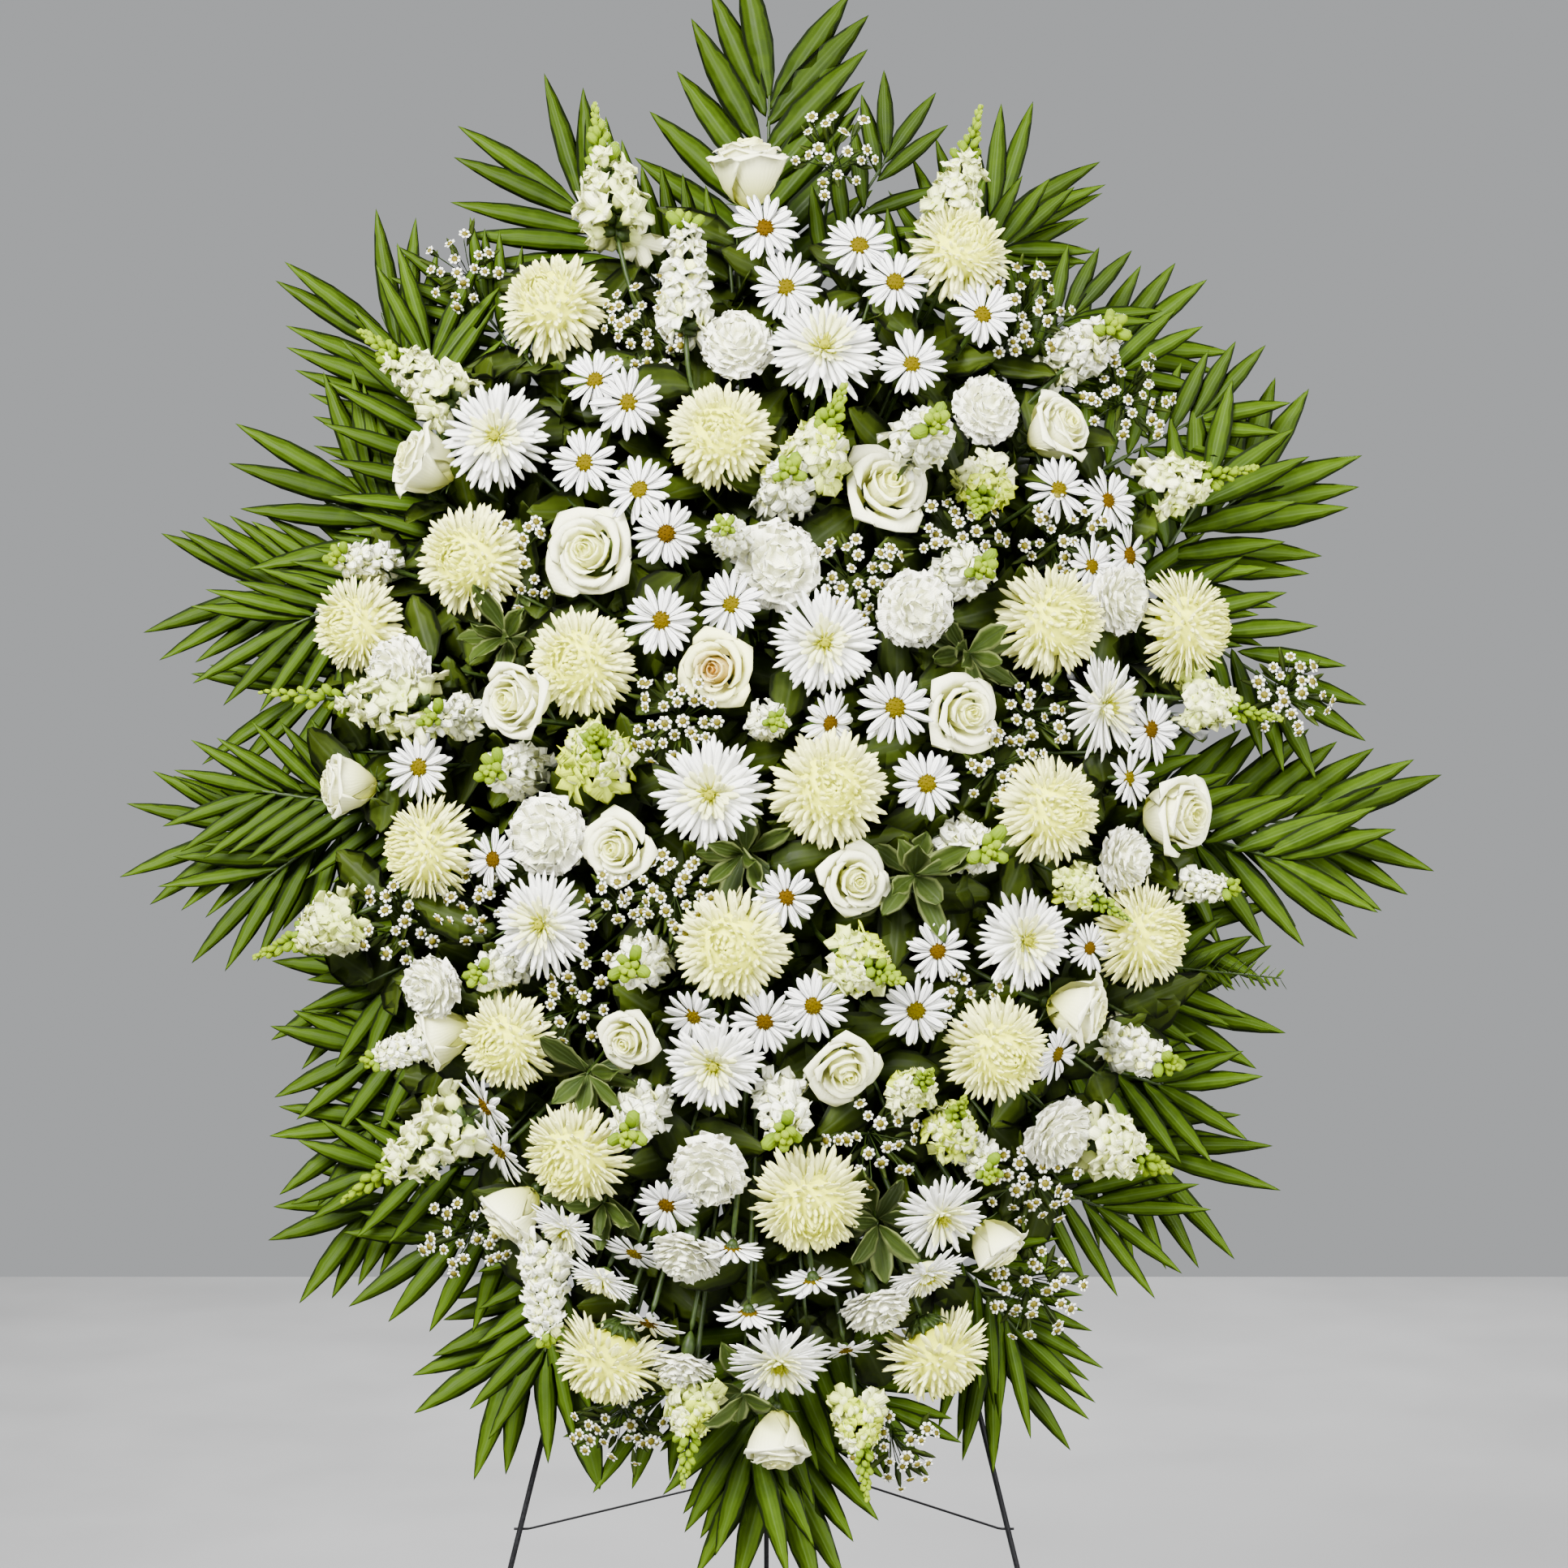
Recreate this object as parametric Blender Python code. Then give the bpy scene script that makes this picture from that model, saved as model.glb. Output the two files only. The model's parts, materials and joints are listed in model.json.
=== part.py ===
"""Standing funeral spray: palm fronds and large chrysanthemums in a foam cage on a folding wire easel.

Metres, +Z up, the flowers face -Y. The front frame of the easel leans back, so its pieces, the
cage, the fronds and the blooms are laid out in the leaning frame's own axes: x across, z up the
frame, and -y out in front of it. The rear leg and the two stays hang on their own hinge axes.
"""
import math

import bmesh
import bpy
from mathutils import Matrix, Vector

# Easel
LEAN = math.radians(10.0)  # the front frame leans back from the vertical
SPREAD = math.radians(13.6)  # each front leg from the middle line
APEX_UP = 1.33  # where the front legs meet, up the frame
NECK_TOP = 1.40  # top of the short neck above the apex
LEG_RADIUS = 0.0025
BAR_RADIUS = 0.002
STAY_RADIUS = 0.0012
TIE_RADIUS = 0.0009
GAP = 0.0003  # between pieces that touch or are welded
TINY = 1e-6
HINGE_UP = 1.22  # crossbar that carries the rear leg
LOWER_BAR_UP = 0.915  # crossbar below the cage
BAR_OVERHANG = 0.012  # past each front leg
EYE_CLEARANCE = 0.0004  # round the crossbar, inside the rear leg's eye
REAR_SLOPE = math.radians(17.4)  # rear leg from the vertical when it is open
EYE_SWEEP = math.radians(255.0)
STAY_UP = 0.437  # stay eyes, up the frame
STAY_EYE_RADIUS = 0.003
HOOK_HEIGHTS = {"left": 0.385, "right": 0.405}  # above the floor, on the rear leg
HOOK_RADIUS = 0.0046
HOOK_TAIL = 0.004
STAY_BEND = 0.006

# Foam cage, measured across, up the frame and out from it
FOAM_SIZE = Vector((0.110, 0.070, 0.380))
CAGE_BACK = 0.0045
CAGE_LOW = 0.94
CAGE_WALL = 0.002
TRAY_DEPTH = 0.024
GRID_BAR = 0.003
GRID_SPACING = 0.040
TONGUE_WIDTH = 0.010
TONGUE_LENGTH = 0.035
TIE_HOLE_RADIUS = 0.003

# Shape of the spray
CM = 0.01
RIM_DEPTH = 0.10  # bloom centres at the rim, out from the front frame
MIDDLE_DEPTH = 0.28
SPRAY_HALF_WIDTH = 44.0  # centimetres, like the planting below
SPRAY_HALF_HEIGHT = 64.0
SPRAY_MIDDLE = 108.0
HUB_LOW, HUB_HIGH = 95.0, 125.0  # blooms turn away from this stretch of the middle line
SIGHT_POINT = Vector((0.018, -3.0, 1.22))  # the planting is set out as sighted from here
SIGHTED_PLANE = 0.19  # on an upright plane this far behind the front feet
STEM_RADIUS = 0.0025
STEM_CORE_OUT = 0.060  # stems run from the heart of the foam, this far out
CORE_ACROSS, CORE_UP = 0.08, 0.28  # how far their feet spread there, as shares of the spray's
STEM_BENDS = 7
STEM_CURVE = 0.3  # share of its length over which a stem straightens at each end

FROND_THICKNESS = 0.0012
FIRST_FROND_OUT = 0.012
FROND_PITCH = 0.002  # each frond lies this much further out than the one before
FROND_STALK = 0.005
LEAFLET_ANGLES = (58.0, 34.0)  # to the rib, at its foot and at its end
END_LEAFLET_ANGLE = 24.0
NOTCH_REACH = 0.5  # leaflets are joined up to this share of their length

# Moves the frame so that its origin is below the middle of the whole
ORIGIN_SHIFT = Vector((-0.016, -0.229, 0.0))

# Planting, in centimetres as seen from the front: across from the middle line and height above the
# floor, then the diameter, and the degrees by which the bloom turns away from the front.
FOOTBALL_MUMS = (
    (-19.5, 153.5, 10.3, 25),
    (18.0, 158.5, 9.3, 25),
    (-4.0, 141.5, 9.5, 12),
    (-27.0, 130.0, 10.0, 25),
    (-37.0, 124.0, 9.6, 35),
    (-17.5, 120.5, 9.8, 15),
    (6.0, 109.0, 10.4, 8),
    (26.5, 124.5, 10.0, 35),
    (38.8, 124.0, 10.0, 68),
    (26.5, 107.0, 9.6, 35),
    (-31.0, 103.5, 9.0, 50),
    (-3.0, 94.5, 10.0, 8),
    (-23.5, 85.5, 9.3, 25),
    (21.5, 84.5, 10.0, 22),
    (-17.5, 75.0, 9.6, 35),
    (4.0, 71.0, 10.3, 30),
    (35.0, 95.5, 9.6, 55),
    (-14.5, 56.0, 10.0, 72),
    (16.0, 56.5, 9.8, 72),
)
SPIDER_MUMS = (
    (-25.0, 141.5, 10.0, 12),
    (6.0, 150.0, 11.0, 40),
    (5.5, 122.5, 10.0, 5),
    (-5.0, 108.5, 10.8, 5),
    (-20.5, 96.5, 10.0, 20),
    (24.0, 95.0, 9.6, 22),
    (-4.7, 83.5, 9.6, 12),
    (31.5, 116.5, 9.4, 50),
    (1.3, 55.8, 9.4, 62),
    (16.3, 69.5, 9.0, 38),
)
# Half outlines of a head along its axis, both in head radii: a dense ball and a shallow dish
FOOTBALL_PROFILE = (
    (-0.72, 0.12), (-0.52, 0.52), (-0.15, 0.84), (0.20, 0.90), (0.52, 0.72), (0.76, 0.38), (0.84, 0.10),
)
SPIDER_PROFILE = ((-0.34, 0.08), (-0.20, 0.26), (0.0, 0.80), (0.16, 0.90), (0.30, 0.52), (0.34, 0.12))

# Palm fronds: name, foot and end of the leafy rib (across, height), leaflet length, leaflet pairs
FRONDS = (
    ("palm_top", (0.2, 157.0), (0.5, 174.7), 11.0, 8),
    ("palm_top_right", (18.0, 154.0), (22.2, 163.5), 9.5, 6),
    ("palm_right_high", (26.0, 146.0), (34.7, 150.7), 8.0, 5),
    ("palm_right_upper", (36.0, 129.4), (45.6, 137.6), 10.0, 7),
    ("palm_right_middle", (36.0, 106.0), (52.4, 106.0), 10.0, 8),
    ("palm_right_low", (29.0, 90.4), (39.2, 89.0), 9.0, 5),
    ("palm_lower_right_high", (27.0, 81.4), (37.0, 74.0), 10.0, 6),
    ("palm_lower_right", (17.9, 65.0), (22.4, 55.0), 9.0, 6),
    ("palm_bottom", (0.6, 55.0), (1.0, 44.6), 10.5, 7),
    ("palm_lower_left", (-18.2, 64.0), (-24.2, 55.0), 9.0, 6),
    ("palm_lower_left_high", (-25.7, 74.6), (-38.4, 69.4), 8.0, 7),
    ("palm_left_low", (-31.0, 94.0), (-37.7, 90.7), 8.3, 4),
    ("palm_left_middle", (-34.7, 107.0), (-50.0, 104.8), 9.0, 8),
    ("palm_left_upper", (-33.0, 128.5), (-47.8, 127.0), 9.5, 7),
    ("palm_left_high", (-29.8, 140.0), (-34.8, 152.0), 10.3, 6),
    ("palm_top_left", (-10.7, 156.5), (-18.9, 164.0), 10.5, 6),
)

TO_FRAME = Matrix.Rotation(LEAN, 3, "X")  # from upright axes into the leaning frame's
CAGE_SIZE = FOAM_SIZE + Vector((2, 2, 2)) * (CAGE_WALL + GAP)
CAGE_FRONT = CAGE_BACK + CAGE_WALL + FOAM_SIZE.y + 2 * GAP + GRID_BAR
CAGE_MIDDLE_UP = CAGE_LOW + CAGE_SIZE.z / 2


def clear_scene():
    for old in list(bpy.data.objects):
        bpy.data.objects.remove(old, do_unlink=True)


def material(name, colour, roughness, metallic=0.0):
    made = bpy.data.materials.new(name)
    made.use_nodes = True
    shader = made.node_tree.nodes["Principled BSDF"]
    shader.inputs["Base Color"].default_value = (*colour, 1.0)
    shader.inputs["Roughness"].default_value = roughness
    shader.inputs["Metallic"].default_value = metallic
    made.diffuse_color = (*colour, 1.0)
    return made


def empty(name, location, parent=None, lean=0.0):
    made = bpy.data.objects.new(name, None)
    bpy.context.scene.collection.objects.link(made)
    made.parent = parent
    made.location = location
    made.rotation_euler.x = -lean
    return made


def add_object(name, data, look, parent):
    made = bpy.data.objects.new(name, data)
    bpy.context.scene.collection.objects.link(made)
    data.materials.append(look)
    made.parent = parent
    return made


def mesh_object(name, bm, look, parent, smooth=False):
    bmesh.ops.recalc_face_normals(bm, faces=bm.faces)
    mesh = bpy.data.meshes.new(name)
    bm.to_mesh(mesh)
    bm.free()
    if smooth:
        mesh.shade_smooth()
        mesh.set_sharp_from_angle(angle=math.radians(40))
    return add_object(name, mesh, look, parent)


def tube_curve(name, points, radii, sides=8, closed=False):
    """A round curve through the points, with a radius at each."""
    curve = bpy.data.curves.new(name, "CURVE")
    curve.dimensions = "3D"
    curve.bevel_depth = 0.001  # so a point's radius is in millimetres
    curve.bevel_resolution = sides // 2 - 2
    curve.use_fill_caps = not closed
    spline = curve.splines.new("POLY")
    spline.points.add(len(points) - 1)
    for knot, place, radius in zip(spline.points, points, radii):
        knot.co = (*place, 1.0)
        knot.radius = radius * 1000
    spline.use_cyclic_u = closed
    return curve


def wire(name, points, radius, look, parent, sides=12, closed=False):
    curve = tube_curve(name, points, [radius] * len(points), sides, closed)
    return add_object(name, curve, look, parent)


def cut_at_floor(leg, floor_point, floor_normal):
    """Turns a leg's curve into a mesh whose foot is cut flat along the floor."""
    bpy.context.view_layer.update()
    seen = leg.evaluated_get(bpy.context.evaluated_depsgraph_get())
    mesh = bpy.data.meshes.new_from_object(seen)
    bm = bmesh.new()
    bm.from_mesh(mesh)
    bmesh.ops.remove_doubles(bm, verts=bm.verts, dist=0.00001)
    cut = bmesh.ops.bisect_plane(
        bm,
        geom=bm.verts[:] + bm.edges[:] + bm.faces[:],
        plane_co=floor_point,
        plane_no=floor_normal,
        clear_inner=True,
    )
    rim = [part for part in cut["geom_cut"] if isinstance(part, bmesh.types.BMEdge)]
    bmesh.ops.contextual_create(bm, geom=rim)
    name, look, parent, place = leg.name, leg.data.materials[0], leg.parent, leg.location.copy()
    bpy.data.objects.remove(leg, do_unlink=True)
    bpy.data.meshes.remove(mesh)
    made = mesh_object(name, bm, look, parent, smooth=True)
    made.location = place
    return made


def ring_points(centre, radius, first_axis, second_axis, count=14):
    turns = [2 * math.pi * step / count for step in range(count)]
    return [centre + radius * (math.cos(t) * first_axis + math.sin(t) * second_axis) for t in turns]


def leg_across(up):
    """Half the distance between the front legs' centre lines, at a height up the frame."""
    return LEG_RADIUS + GAP / 2 + max(0.0, APEX_UP - up) * math.tan(SPREAD)


def frame_point(across, up, out):
    return Vector((across, -out, up))


# Easel pieces


def front_leg(side_name, side, look, frame):
    below_floor = -0.02
    points = [
        frame_point(side * leg_across(below_floor), below_floor, 0.0),
        frame_point(side * leg_across(APEX_UP), APEX_UP, 0.0),
        frame_point(side * leg_across(NECK_TOP), NECK_TOP, 0.0),
    ]
    leg = wire(f"front_leg_{side_name}", points, LEG_RADIUS, look, frame)
    return cut_at_floor(leg, Vector(), TO_FRAME @ Vector((0, 0, 1)))


def crossbar(name, up, look, frame):
    """Welded across the back of both front legs."""
    reach = leg_across(up) + BAR_OVERHANG
    behind = -(LEG_RADIUS + GAP + BAR_RADIUS)
    points = [frame_point(-reach, up, behind), frame_point(reach, up, behind)]
    return wire(name, points, BAR_RADIUS, look, frame)


def stay_eye(side_name, side, look, frame):
    """A small ring behind each front leg, whose hole runs across the easel."""
    centre = frame_point(side * leg_across(STAY_UP), STAY_UP, -stay_axis_behind())
    points = ring_points(centre, STAY_EYE_RADIUS, Vector((0, 1, 0)), Vector((0, 0, 1)))
    return wire(f"stay_eye_{side_name}", points, STAY_RADIUS, look, frame, sides=8, closed=True)


def stay_axis_behind():
    return LEG_RADIUS + GAP + STAY_RADIUS + STAY_EYE_RADIUS


def upright(point):
    """From the leaning frame's axes into upright ones."""
    return TO_FRAME.transposed() @ point


def rear_hinge_place():
    return upright(frame_point(0.0, HINGE_UP, -(LEG_RADIUS + GAP + BAR_RADIUS)))


def stay_hinge_place():
    return upright(frame_point(0.0, STAY_UP, -stay_axis_behind()))


def rear_leg_line():
    """A point on the rear leg's centre line beside its hinge, and the line's way down."""
    down = Vector((0, math.sin(REAR_SLOPE), -math.cos(REAR_SLOPE)))
    back = Vector((0, math.cos(REAR_SLOPE), math.sin(REAR_SLOPE)))
    eye_radius = BAR_RADIUS + EYE_CLEARANCE + LEG_RADIUS
    return eye_radius * back, down, back


def rear_leg(look, hinge):
    """One wire from the floor up to an eye that curls round the hinge crossbar."""
    beside, down, back = rear_leg_line()
    eye_radius = beside.length
    length = (hinge.location.z + beside.z + 0.02) / math.cos(REAR_SLOPE)
    steps = 15
    points = [beside + length * down]
    for step in range(steps + 1):
        turn = EYE_SWEEP * step / steps
        points.append(eye_radius * (math.cos(turn) * back - math.sin(turn) * down))
    leg = wire("rear_leg", points, LEG_RADIUS, look, hinge)
    return cut_at_floor(leg, Vector((0, 0, -hinge.location.z)), Vector((0, 0, 1)))


def stay(side_name, side, look, hinge):
    """A thin wire from a front leg's eye to an open hook behind the rear leg."""
    beside, down, _ = rear_leg_line()
    start = rear_hinge_place() + beside
    reach = (start.z - HOOK_HEIGHTS[side_name]) / -down.z
    hook_centre = start + reach * down - stay_hinge_place()
    away = hook_centre.length
    inward = hook_centre.normalized()
    across = Vector((side, 0, 0))
    eye_across = leg_across(STAY_UP)
    slope = math.atan2(away, eye_across)
    points = [(eye_across + STAY_BEND, 0.0), (eye_across - STAY_BEND / 2, 0.0)]
    for step in (1, 2, 3):
        turn = slope * step / 3
        bend = (eye_across - STAY_BEND / 2 - STAY_BEND * math.sin(turn), STAY_BEND * (1 - math.cos(turn)))
        points.append(bend)
    first = math.pi / 2 - slope
    steps = 9
    for step in range(steps + 1):
        turn = first + (math.pi * 1.03 - first) * step / steps
        points.append((HOOK_RADIUS * math.cos(turn), away + HOOK_RADIUS * math.sin(turn)))
    last_across, last_away = points[-1]
    points.append((last_across, last_away - HOOK_TAIL))
    places = [x * across + r * inward for x, r in points]
    return wire(f"stay_{side_name}", places, STAY_RADIUS, look, hinge, sides=8)


# Foam cage


def box_mesh(size, open_front=False):
    bm = bmesh.new()
    bmesh.ops.create_cube(bm, size=1.0)
    bmesh.ops.scale(bm, vec=size, verts=bm.verts)
    if open_front:
        front = [face for face in bm.faces if face.normal.y < -0.9]
        bmesh.ops.delete(bm, geom=front, context="FACES_ONLY")
    return bm


def cage_place(size_out, back_out):
    """Centre of a cage piece that reaches out by size_out from back_out."""
    return frame_point(0.0, CAGE_MIDDLE_UP, back_out + size_out / 2)


def foam_block(look, frame):
    made = mesh_object("foam_block", box_mesh(FOAM_SIZE), look, frame)
    made.location = cage_place(FOAM_SIZE.y, CAGE_BACK + CAGE_WALL + GAP)
    edges = made.modifiers.new("worn edges", "BEVEL")
    edges.width = 0.004
    edges.segments = 1
    return made


def hidden_tool(name, bm, frame, place):
    """A solid that only serves a Boolean."""
    mesh = bpy.data.meshes.new(name)
    bm.to_mesh(mesh)
    bm.free()
    made = bpy.data.objects.new(name, mesh)
    bpy.context.scene.collection.objects.link(made)
    made.parent = frame
    made.location = place
    made.hide_render = True
    made.display_type = "WIRE"
    return made


def boolean(target, tool, operation):
    step = target.modifiers.new(tool.name, "BOOLEAN")
    step.operation = operation
    step.object = tool


def cage_tray(look, frame):
    """Shallow tray behind the foam, with a tongue at each end that the ties hold."""
    inner = Vector((FOAM_SIZE.x + 2 * GAP, TRAY_DEPTH, FOAM_SIZE.z + 2 * GAP))
    tray = mesh_object("cage_tray", box_mesh(inner, open_front=True), look, frame)
    tray.location = cage_place(TRAY_DEPTH, CAGE_BACK + CAGE_WALL)
    walls = tray.modifiers.new("walls", "SOLIDIFY")
    walls.thickness = CAGE_WALL
    walls.offset = 1.0
    walls.use_even_offset = True
    tongue_size = Vector((TONGUE_WIDTH, CAGE_WALL, TONGUE_LENGTH))
    overlap = 0.001
    for end, sign in (("top", 1), ("bottom", -1)):
        up = CAGE_MIDDLE_UP + sign * (CAGE_SIZE.z / 2 + TONGUE_LENGTH / 2 - overlap)
        place = frame_point(0.0, up, CAGE_BACK + CAGE_WALL / 2)
        boolean(tray, hidden_tool(f"{end}_tongue", box_mesh(tongue_size), frame, place), "UNION")
    drill = bmesh.new()
    bmesh.ops.create_cone(
        drill,
        cap_ends=True,
        segments=12,
        radius1=TIE_HOLE_RADIUS,
        radius2=TIE_HOLE_RADIUS,
        depth=0.02,
        matrix=Matrix.Rotation(math.pi / 2, 4, "X"),
    )
    boolean(tray, hidden_tool("tie_hole", drill, frame, tie_hole_place()), "DIFFERENCE")
    return tray


def tie_hole_place():
    return frame_point(0.0, LOWER_BAR_UP + 0.007, CAGE_BACK + CAGE_WALL / 2)


def cage_grid(look, frame):
    """Open cover of crossing bars that keeps the foam in its tray."""
    tray_front = CAGE_BACK + CAGE_WALL + TRAY_DEPTH
    depth = CAGE_FRONT - GRID_BAR / 2 - tray_front - GAP - GRID_BAR / 2
    bar_shift = GRID_BAR / 2 + GAP
    size = Vector((FOAM_SIZE.x + 2 * bar_shift, depth, FOAM_SIZE.z + 2 * bar_shift))
    bm = box_mesh(size)
    back = [face for face in bm.faces if face.normal.y > 0.9]
    bmesh.ops.delete(bm, geom=back, context="FACES_ONLY")
    for axis in (0, 2):
        count = round(size[axis] / GRID_SPACING)
        normal = Vector((axis == 0, 0, axis == 2))
        for step in range(1, count):
            place = normal * (size[axis] * (step / count - 0.5))
            geometry = bm.verts[:] + bm.edges[:] + bm.faces[:]
            bmesh.ops.bisect_plane(bm, geom=geometry, plane_co=place, plane_no=normal)
    grid = mesh_object("cage_grid", bm, look, frame)
    grid.location = cage_place(depth, tray_front + GAP + GRID_BAR / 2)
    bars = grid.modifiers.new("bars", "WIREFRAME")
    bars.thickness = GRID_BAR
    bars.use_boundary = True
    bars.use_even_offset = True
    bars.use_replace = True
    return grid


def cage_ties(look, frame):
    """A wire loop round the necks and the top tongue, and one through the bottom tongue's hole."""
    wide = leg_across(NECK_TOP) + LEG_RADIUS + GAP + TIE_RADIUS
    behind = -(LEG_RADIUS + GAP + TIE_RADIUS)
    ahead = CAGE_BACK + CAGE_WALL + GAP + TIE_RADIUS
    up = CAGE_LOW + CAGE_SIZE.z + TONGUE_LENGTH * 0.6
    corner = 0.0022
    points = []
    corners = ((1, ahead, 0), (-1, ahead, 1), (-1, behind, 2), (1, behind, 3))
    for side, out, quarter in corners:
        inset_out = out - corner if out > 0 else out + corner
        for step in range(4):
            turn = (quarter + step / 3) * math.pi / 2
            across = side * (wide - corner) + corner * math.cos(turn)
            points.append(frame_point(across, up, inset_out + corner * math.sin(turn)))
    wire("cage_tie_upper", points, TIE_RADIUS, look, frame, sides=6, closed=True)
    centre = frame_point(0.0, LOWER_BAR_UP - 0.003, 0.0)
    reach = (tie_hole_place() - centre).length
    loop = ring_points(centre, reach, Vector((0, 1, 0)), Vector((0, 0, 1)), count=18)
    wire("cage_tie_lower", loop, TIE_RADIUS, look, frame, sides=6, closed=True)


# Planting


def planted(across, height, out):
    """The place this far out from the frame that is sighted at across and height, and its scale."""
    sighted = TO_FRAME @ Vector((across * CM, SIGHTED_PLANE, height * CM))
    sight = TO_FRAME @ SIGHT_POINT
    scale = (-out - sight.y) / (sighted.y - sight.y)
    return sight + scale * (sighted - sight), scale


def dome_out(across, height):
    """How far out a bloom's centre stands: furthest in the middle of the spray."""
    reach = math.hypot(across / SPRAY_HALF_WIDTH, (height - SPRAY_MIDDLE) / SPRAY_HALF_HEIGHT)
    return RIM_DEPTH + (MIDDLE_DEPTH - RIM_DEPTH) * max(0.0, 1.0 - reach * reach)


def facing(across, height, turn):
    """Way that a bloom faces: to the front, turned away from the hub of the spray."""
    hub = min(max(height, HUB_LOW), HUB_HIGH)
    radial = Vector((across, 0.0, height - hub)).normalized()
    angle = math.radians(turn)
    return TO_FRAME @ (math.cos(angle) * Vector((0, -1, 0)) + math.sin(angle) * radial)


def cage_exit(place, core_out, clear):
    """Where the stem of what stands at this place leaves the cage, and the way it leaves."""
    middle = frame_point(0.0, CAGE_MIDDLE_UP, core_out)
    core = Vector((place.x * CORE_ACROSS, middle.y, middle.z + (place.z - middle.z) * CORE_UP))
    way = place - core
    limits = (
        (CAGE_SIZE.x / 2 + clear - abs(core.x)) / max(abs(way.x), TINY),
        (CAGE_FRONT - core_out + clear) / max(-way.y, TINY),
        (CAGE_SIZE.z / 2 + clear - abs(core.z - middle.z)) / max(abs(way.z), TINY),
    )
    return core + way * min(limits), way.normalized()


def bloom(name, planting, profile, look, frame):
    """A head on its stem, in one closed solid."""
    across, height, diameter, turn = planting
    centre, scale = planted(across, height, dome_out(across, height))
    radius = diameter * CM * scale / 2
    way = facing(across, height, turn)
    foot, leaving = cage_exit(centre, STEM_CORE_OUT, STEM_RADIUS + 2 * GAP)
    neck = centre + profile[0][0] * radius * way
    pull = (neck - foot).length * STEM_CURVE
    near = foot + pull * leaving
    far = neck - pull * way
    points = []
    radii = [STEM_RADIUS] * STEM_BENDS
    for step in range(STEM_BENDS):
        t = step / STEM_BENDS
        s = 1 - t
        points.append(s**3 * foot + 3 * s * s * t * near + 3 * s * t * t * far + t**3 * neck)
    for along, share in profile:
        points.append(centre + along * radius * way)
        radii.append(share * radius)
    return add_object(name, tube_curve(name, points, radii), look, frame)


def frond(planting, out, look, frame):
    """A flat leaf blade with a saw-toothed outline of leaflets, on a stalk that runs to the cage."""
    name, foot_plan, end_plan, leaflet_length, pairs = planting
    foot = planted(*foot_plan, out)[0]
    end, scale = planted(*end_plan, out)
    leaflet = leaflet_length * CM * scale
    rib = (end - foot).normalized()
    side = Vector((rib.z, 0.0, -rib.x))
    length = (end - foot).length

    def leaf_way(share, angle_sign):
        angle = LEAFLET_ANGLES[0] + share * (LEAFLET_ANGLES[1] - LEAFLET_ANGLES[0])
        angle = math.radians(angle) * angle_sign
        return math.cos(angle) * rib + math.sin(angle) * side

    def edge(sign):
        """Leaflet tips and the notches between them, from the rib's foot to its end."""
        points = []
        for pair in range(pairs):
            share = (pair + 0.5) / pairs
            points.append(foot + share * length * rib + leaflet * leaf_way(share, sign))
            share = (pair + 1) / pairs
            points.append(foot + share * length * rib + NOTCH_REACH * leaflet * leaf_way(share, sign))
        end_way = math.radians(END_LEAFLET_ANGLE) * sign
        points.append(end + leaflet * (math.cos(end_way) * rib + math.sin(end_way) * side))
        return points

    stalk_foot, way = cage_exit(foot, out, FROND_STALK + GAP)
    stalk_side = Vector((way.z, 0.0, -way.x)) * FROND_STALK / 2
    outline = [stalk_foot + stalk_side, foot + stalk_side]
    outline += edge(1)
    outline.append(end + 0.35 * leaflet * rib)
    outline += reversed(edge(-1))
    outline += [foot - stalk_side, stalk_foot - stalk_side]
    bm = bmesh.new()
    face = bm.faces.new([bm.verts.new(point) for point in outline])
    front = bmesh.ops.extrude_face_region(bm, geom=[face])
    moved = [part for part in front["geom"] if isinstance(part, bmesh.types.BMVert)]
    bmesh.ops.translate(bm, verts=moved, vec=(0, -FROND_THICKNESS, 0))
    bmesh.ops.triangulate(bm, faces=[part for part in bm.faces if len(part.verts) > 4])
    return mesh_object(name, bm, look, frame)


def main():
    clear_scene()
    black_wire = material("black_wire", (0.02, 0.02, 0.022), 0.45, 0.6)
    cage_plastic = material("cage_plastic", (0.03, 0.10, 0.04), 0.5)
    foam_green = material("foam_green", (0.05, 0.17, 0.07), 0.95)
    palm_green = material("palm_green", (0.10, 0.24, 0.03), 0.5)
    cream_petals = material("cream_petals", (0.88, 0.86, 0.62), 0.6)
    white_petals = material("white_petals", (0.90, 0.91, 0.87), 0.6)

    base = empty("spray_origin", ORIGIN_SHIFT)
    frame = empty("front_frame_axes", (0, 0, 0), base, LEAN)
    rear_hinge = empty("rear_leg_hinge", rear_hinge_place(), base)
    stay_hinge = empty("stay_hinge", stay_hinge_place(), base)

    for side_name, side in (("left", -1), ("right", 1)):
        front_leg(side_name, side, black_wire, frame)
        stay_eye(side_name, side, black_wire, frame)
        stay(side_name, side, black_wire, stay_hinge)
    crossbar("hinge_crossbar", HINGE_UP, black_wire, frame)
    crossbar("lower_crossbar", LOWER_BAR_UP, black_wire, frame)
    rear_leg(black_wire, rear_hinge)

    cage_tray(cage_plastic, frame)
    foam_block(foam_green, frame)
    cage_grid(cage_plastic, frame)
    cage_ties(black_wire, frame)

    for number, planting in enumerate(FRONDS):
        frond(planting, FIRST_FROND_OUT + number * FROND_PITCH, palm_green, frame)
    for number, planting in enumerate(FOOTBALL_MUMS, start=1):
        bloom(f"football_mum_{number:02d}", planting, FOOTBALL_PROFILE, cream_petals, frame)
    for number, planting in enumerate(SPIDER_MUMS, start=1):
        bloom(f"spider_mum_{number:02d}", planting, SPIDER_PROFILE, white_petals, frame)


main()
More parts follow.
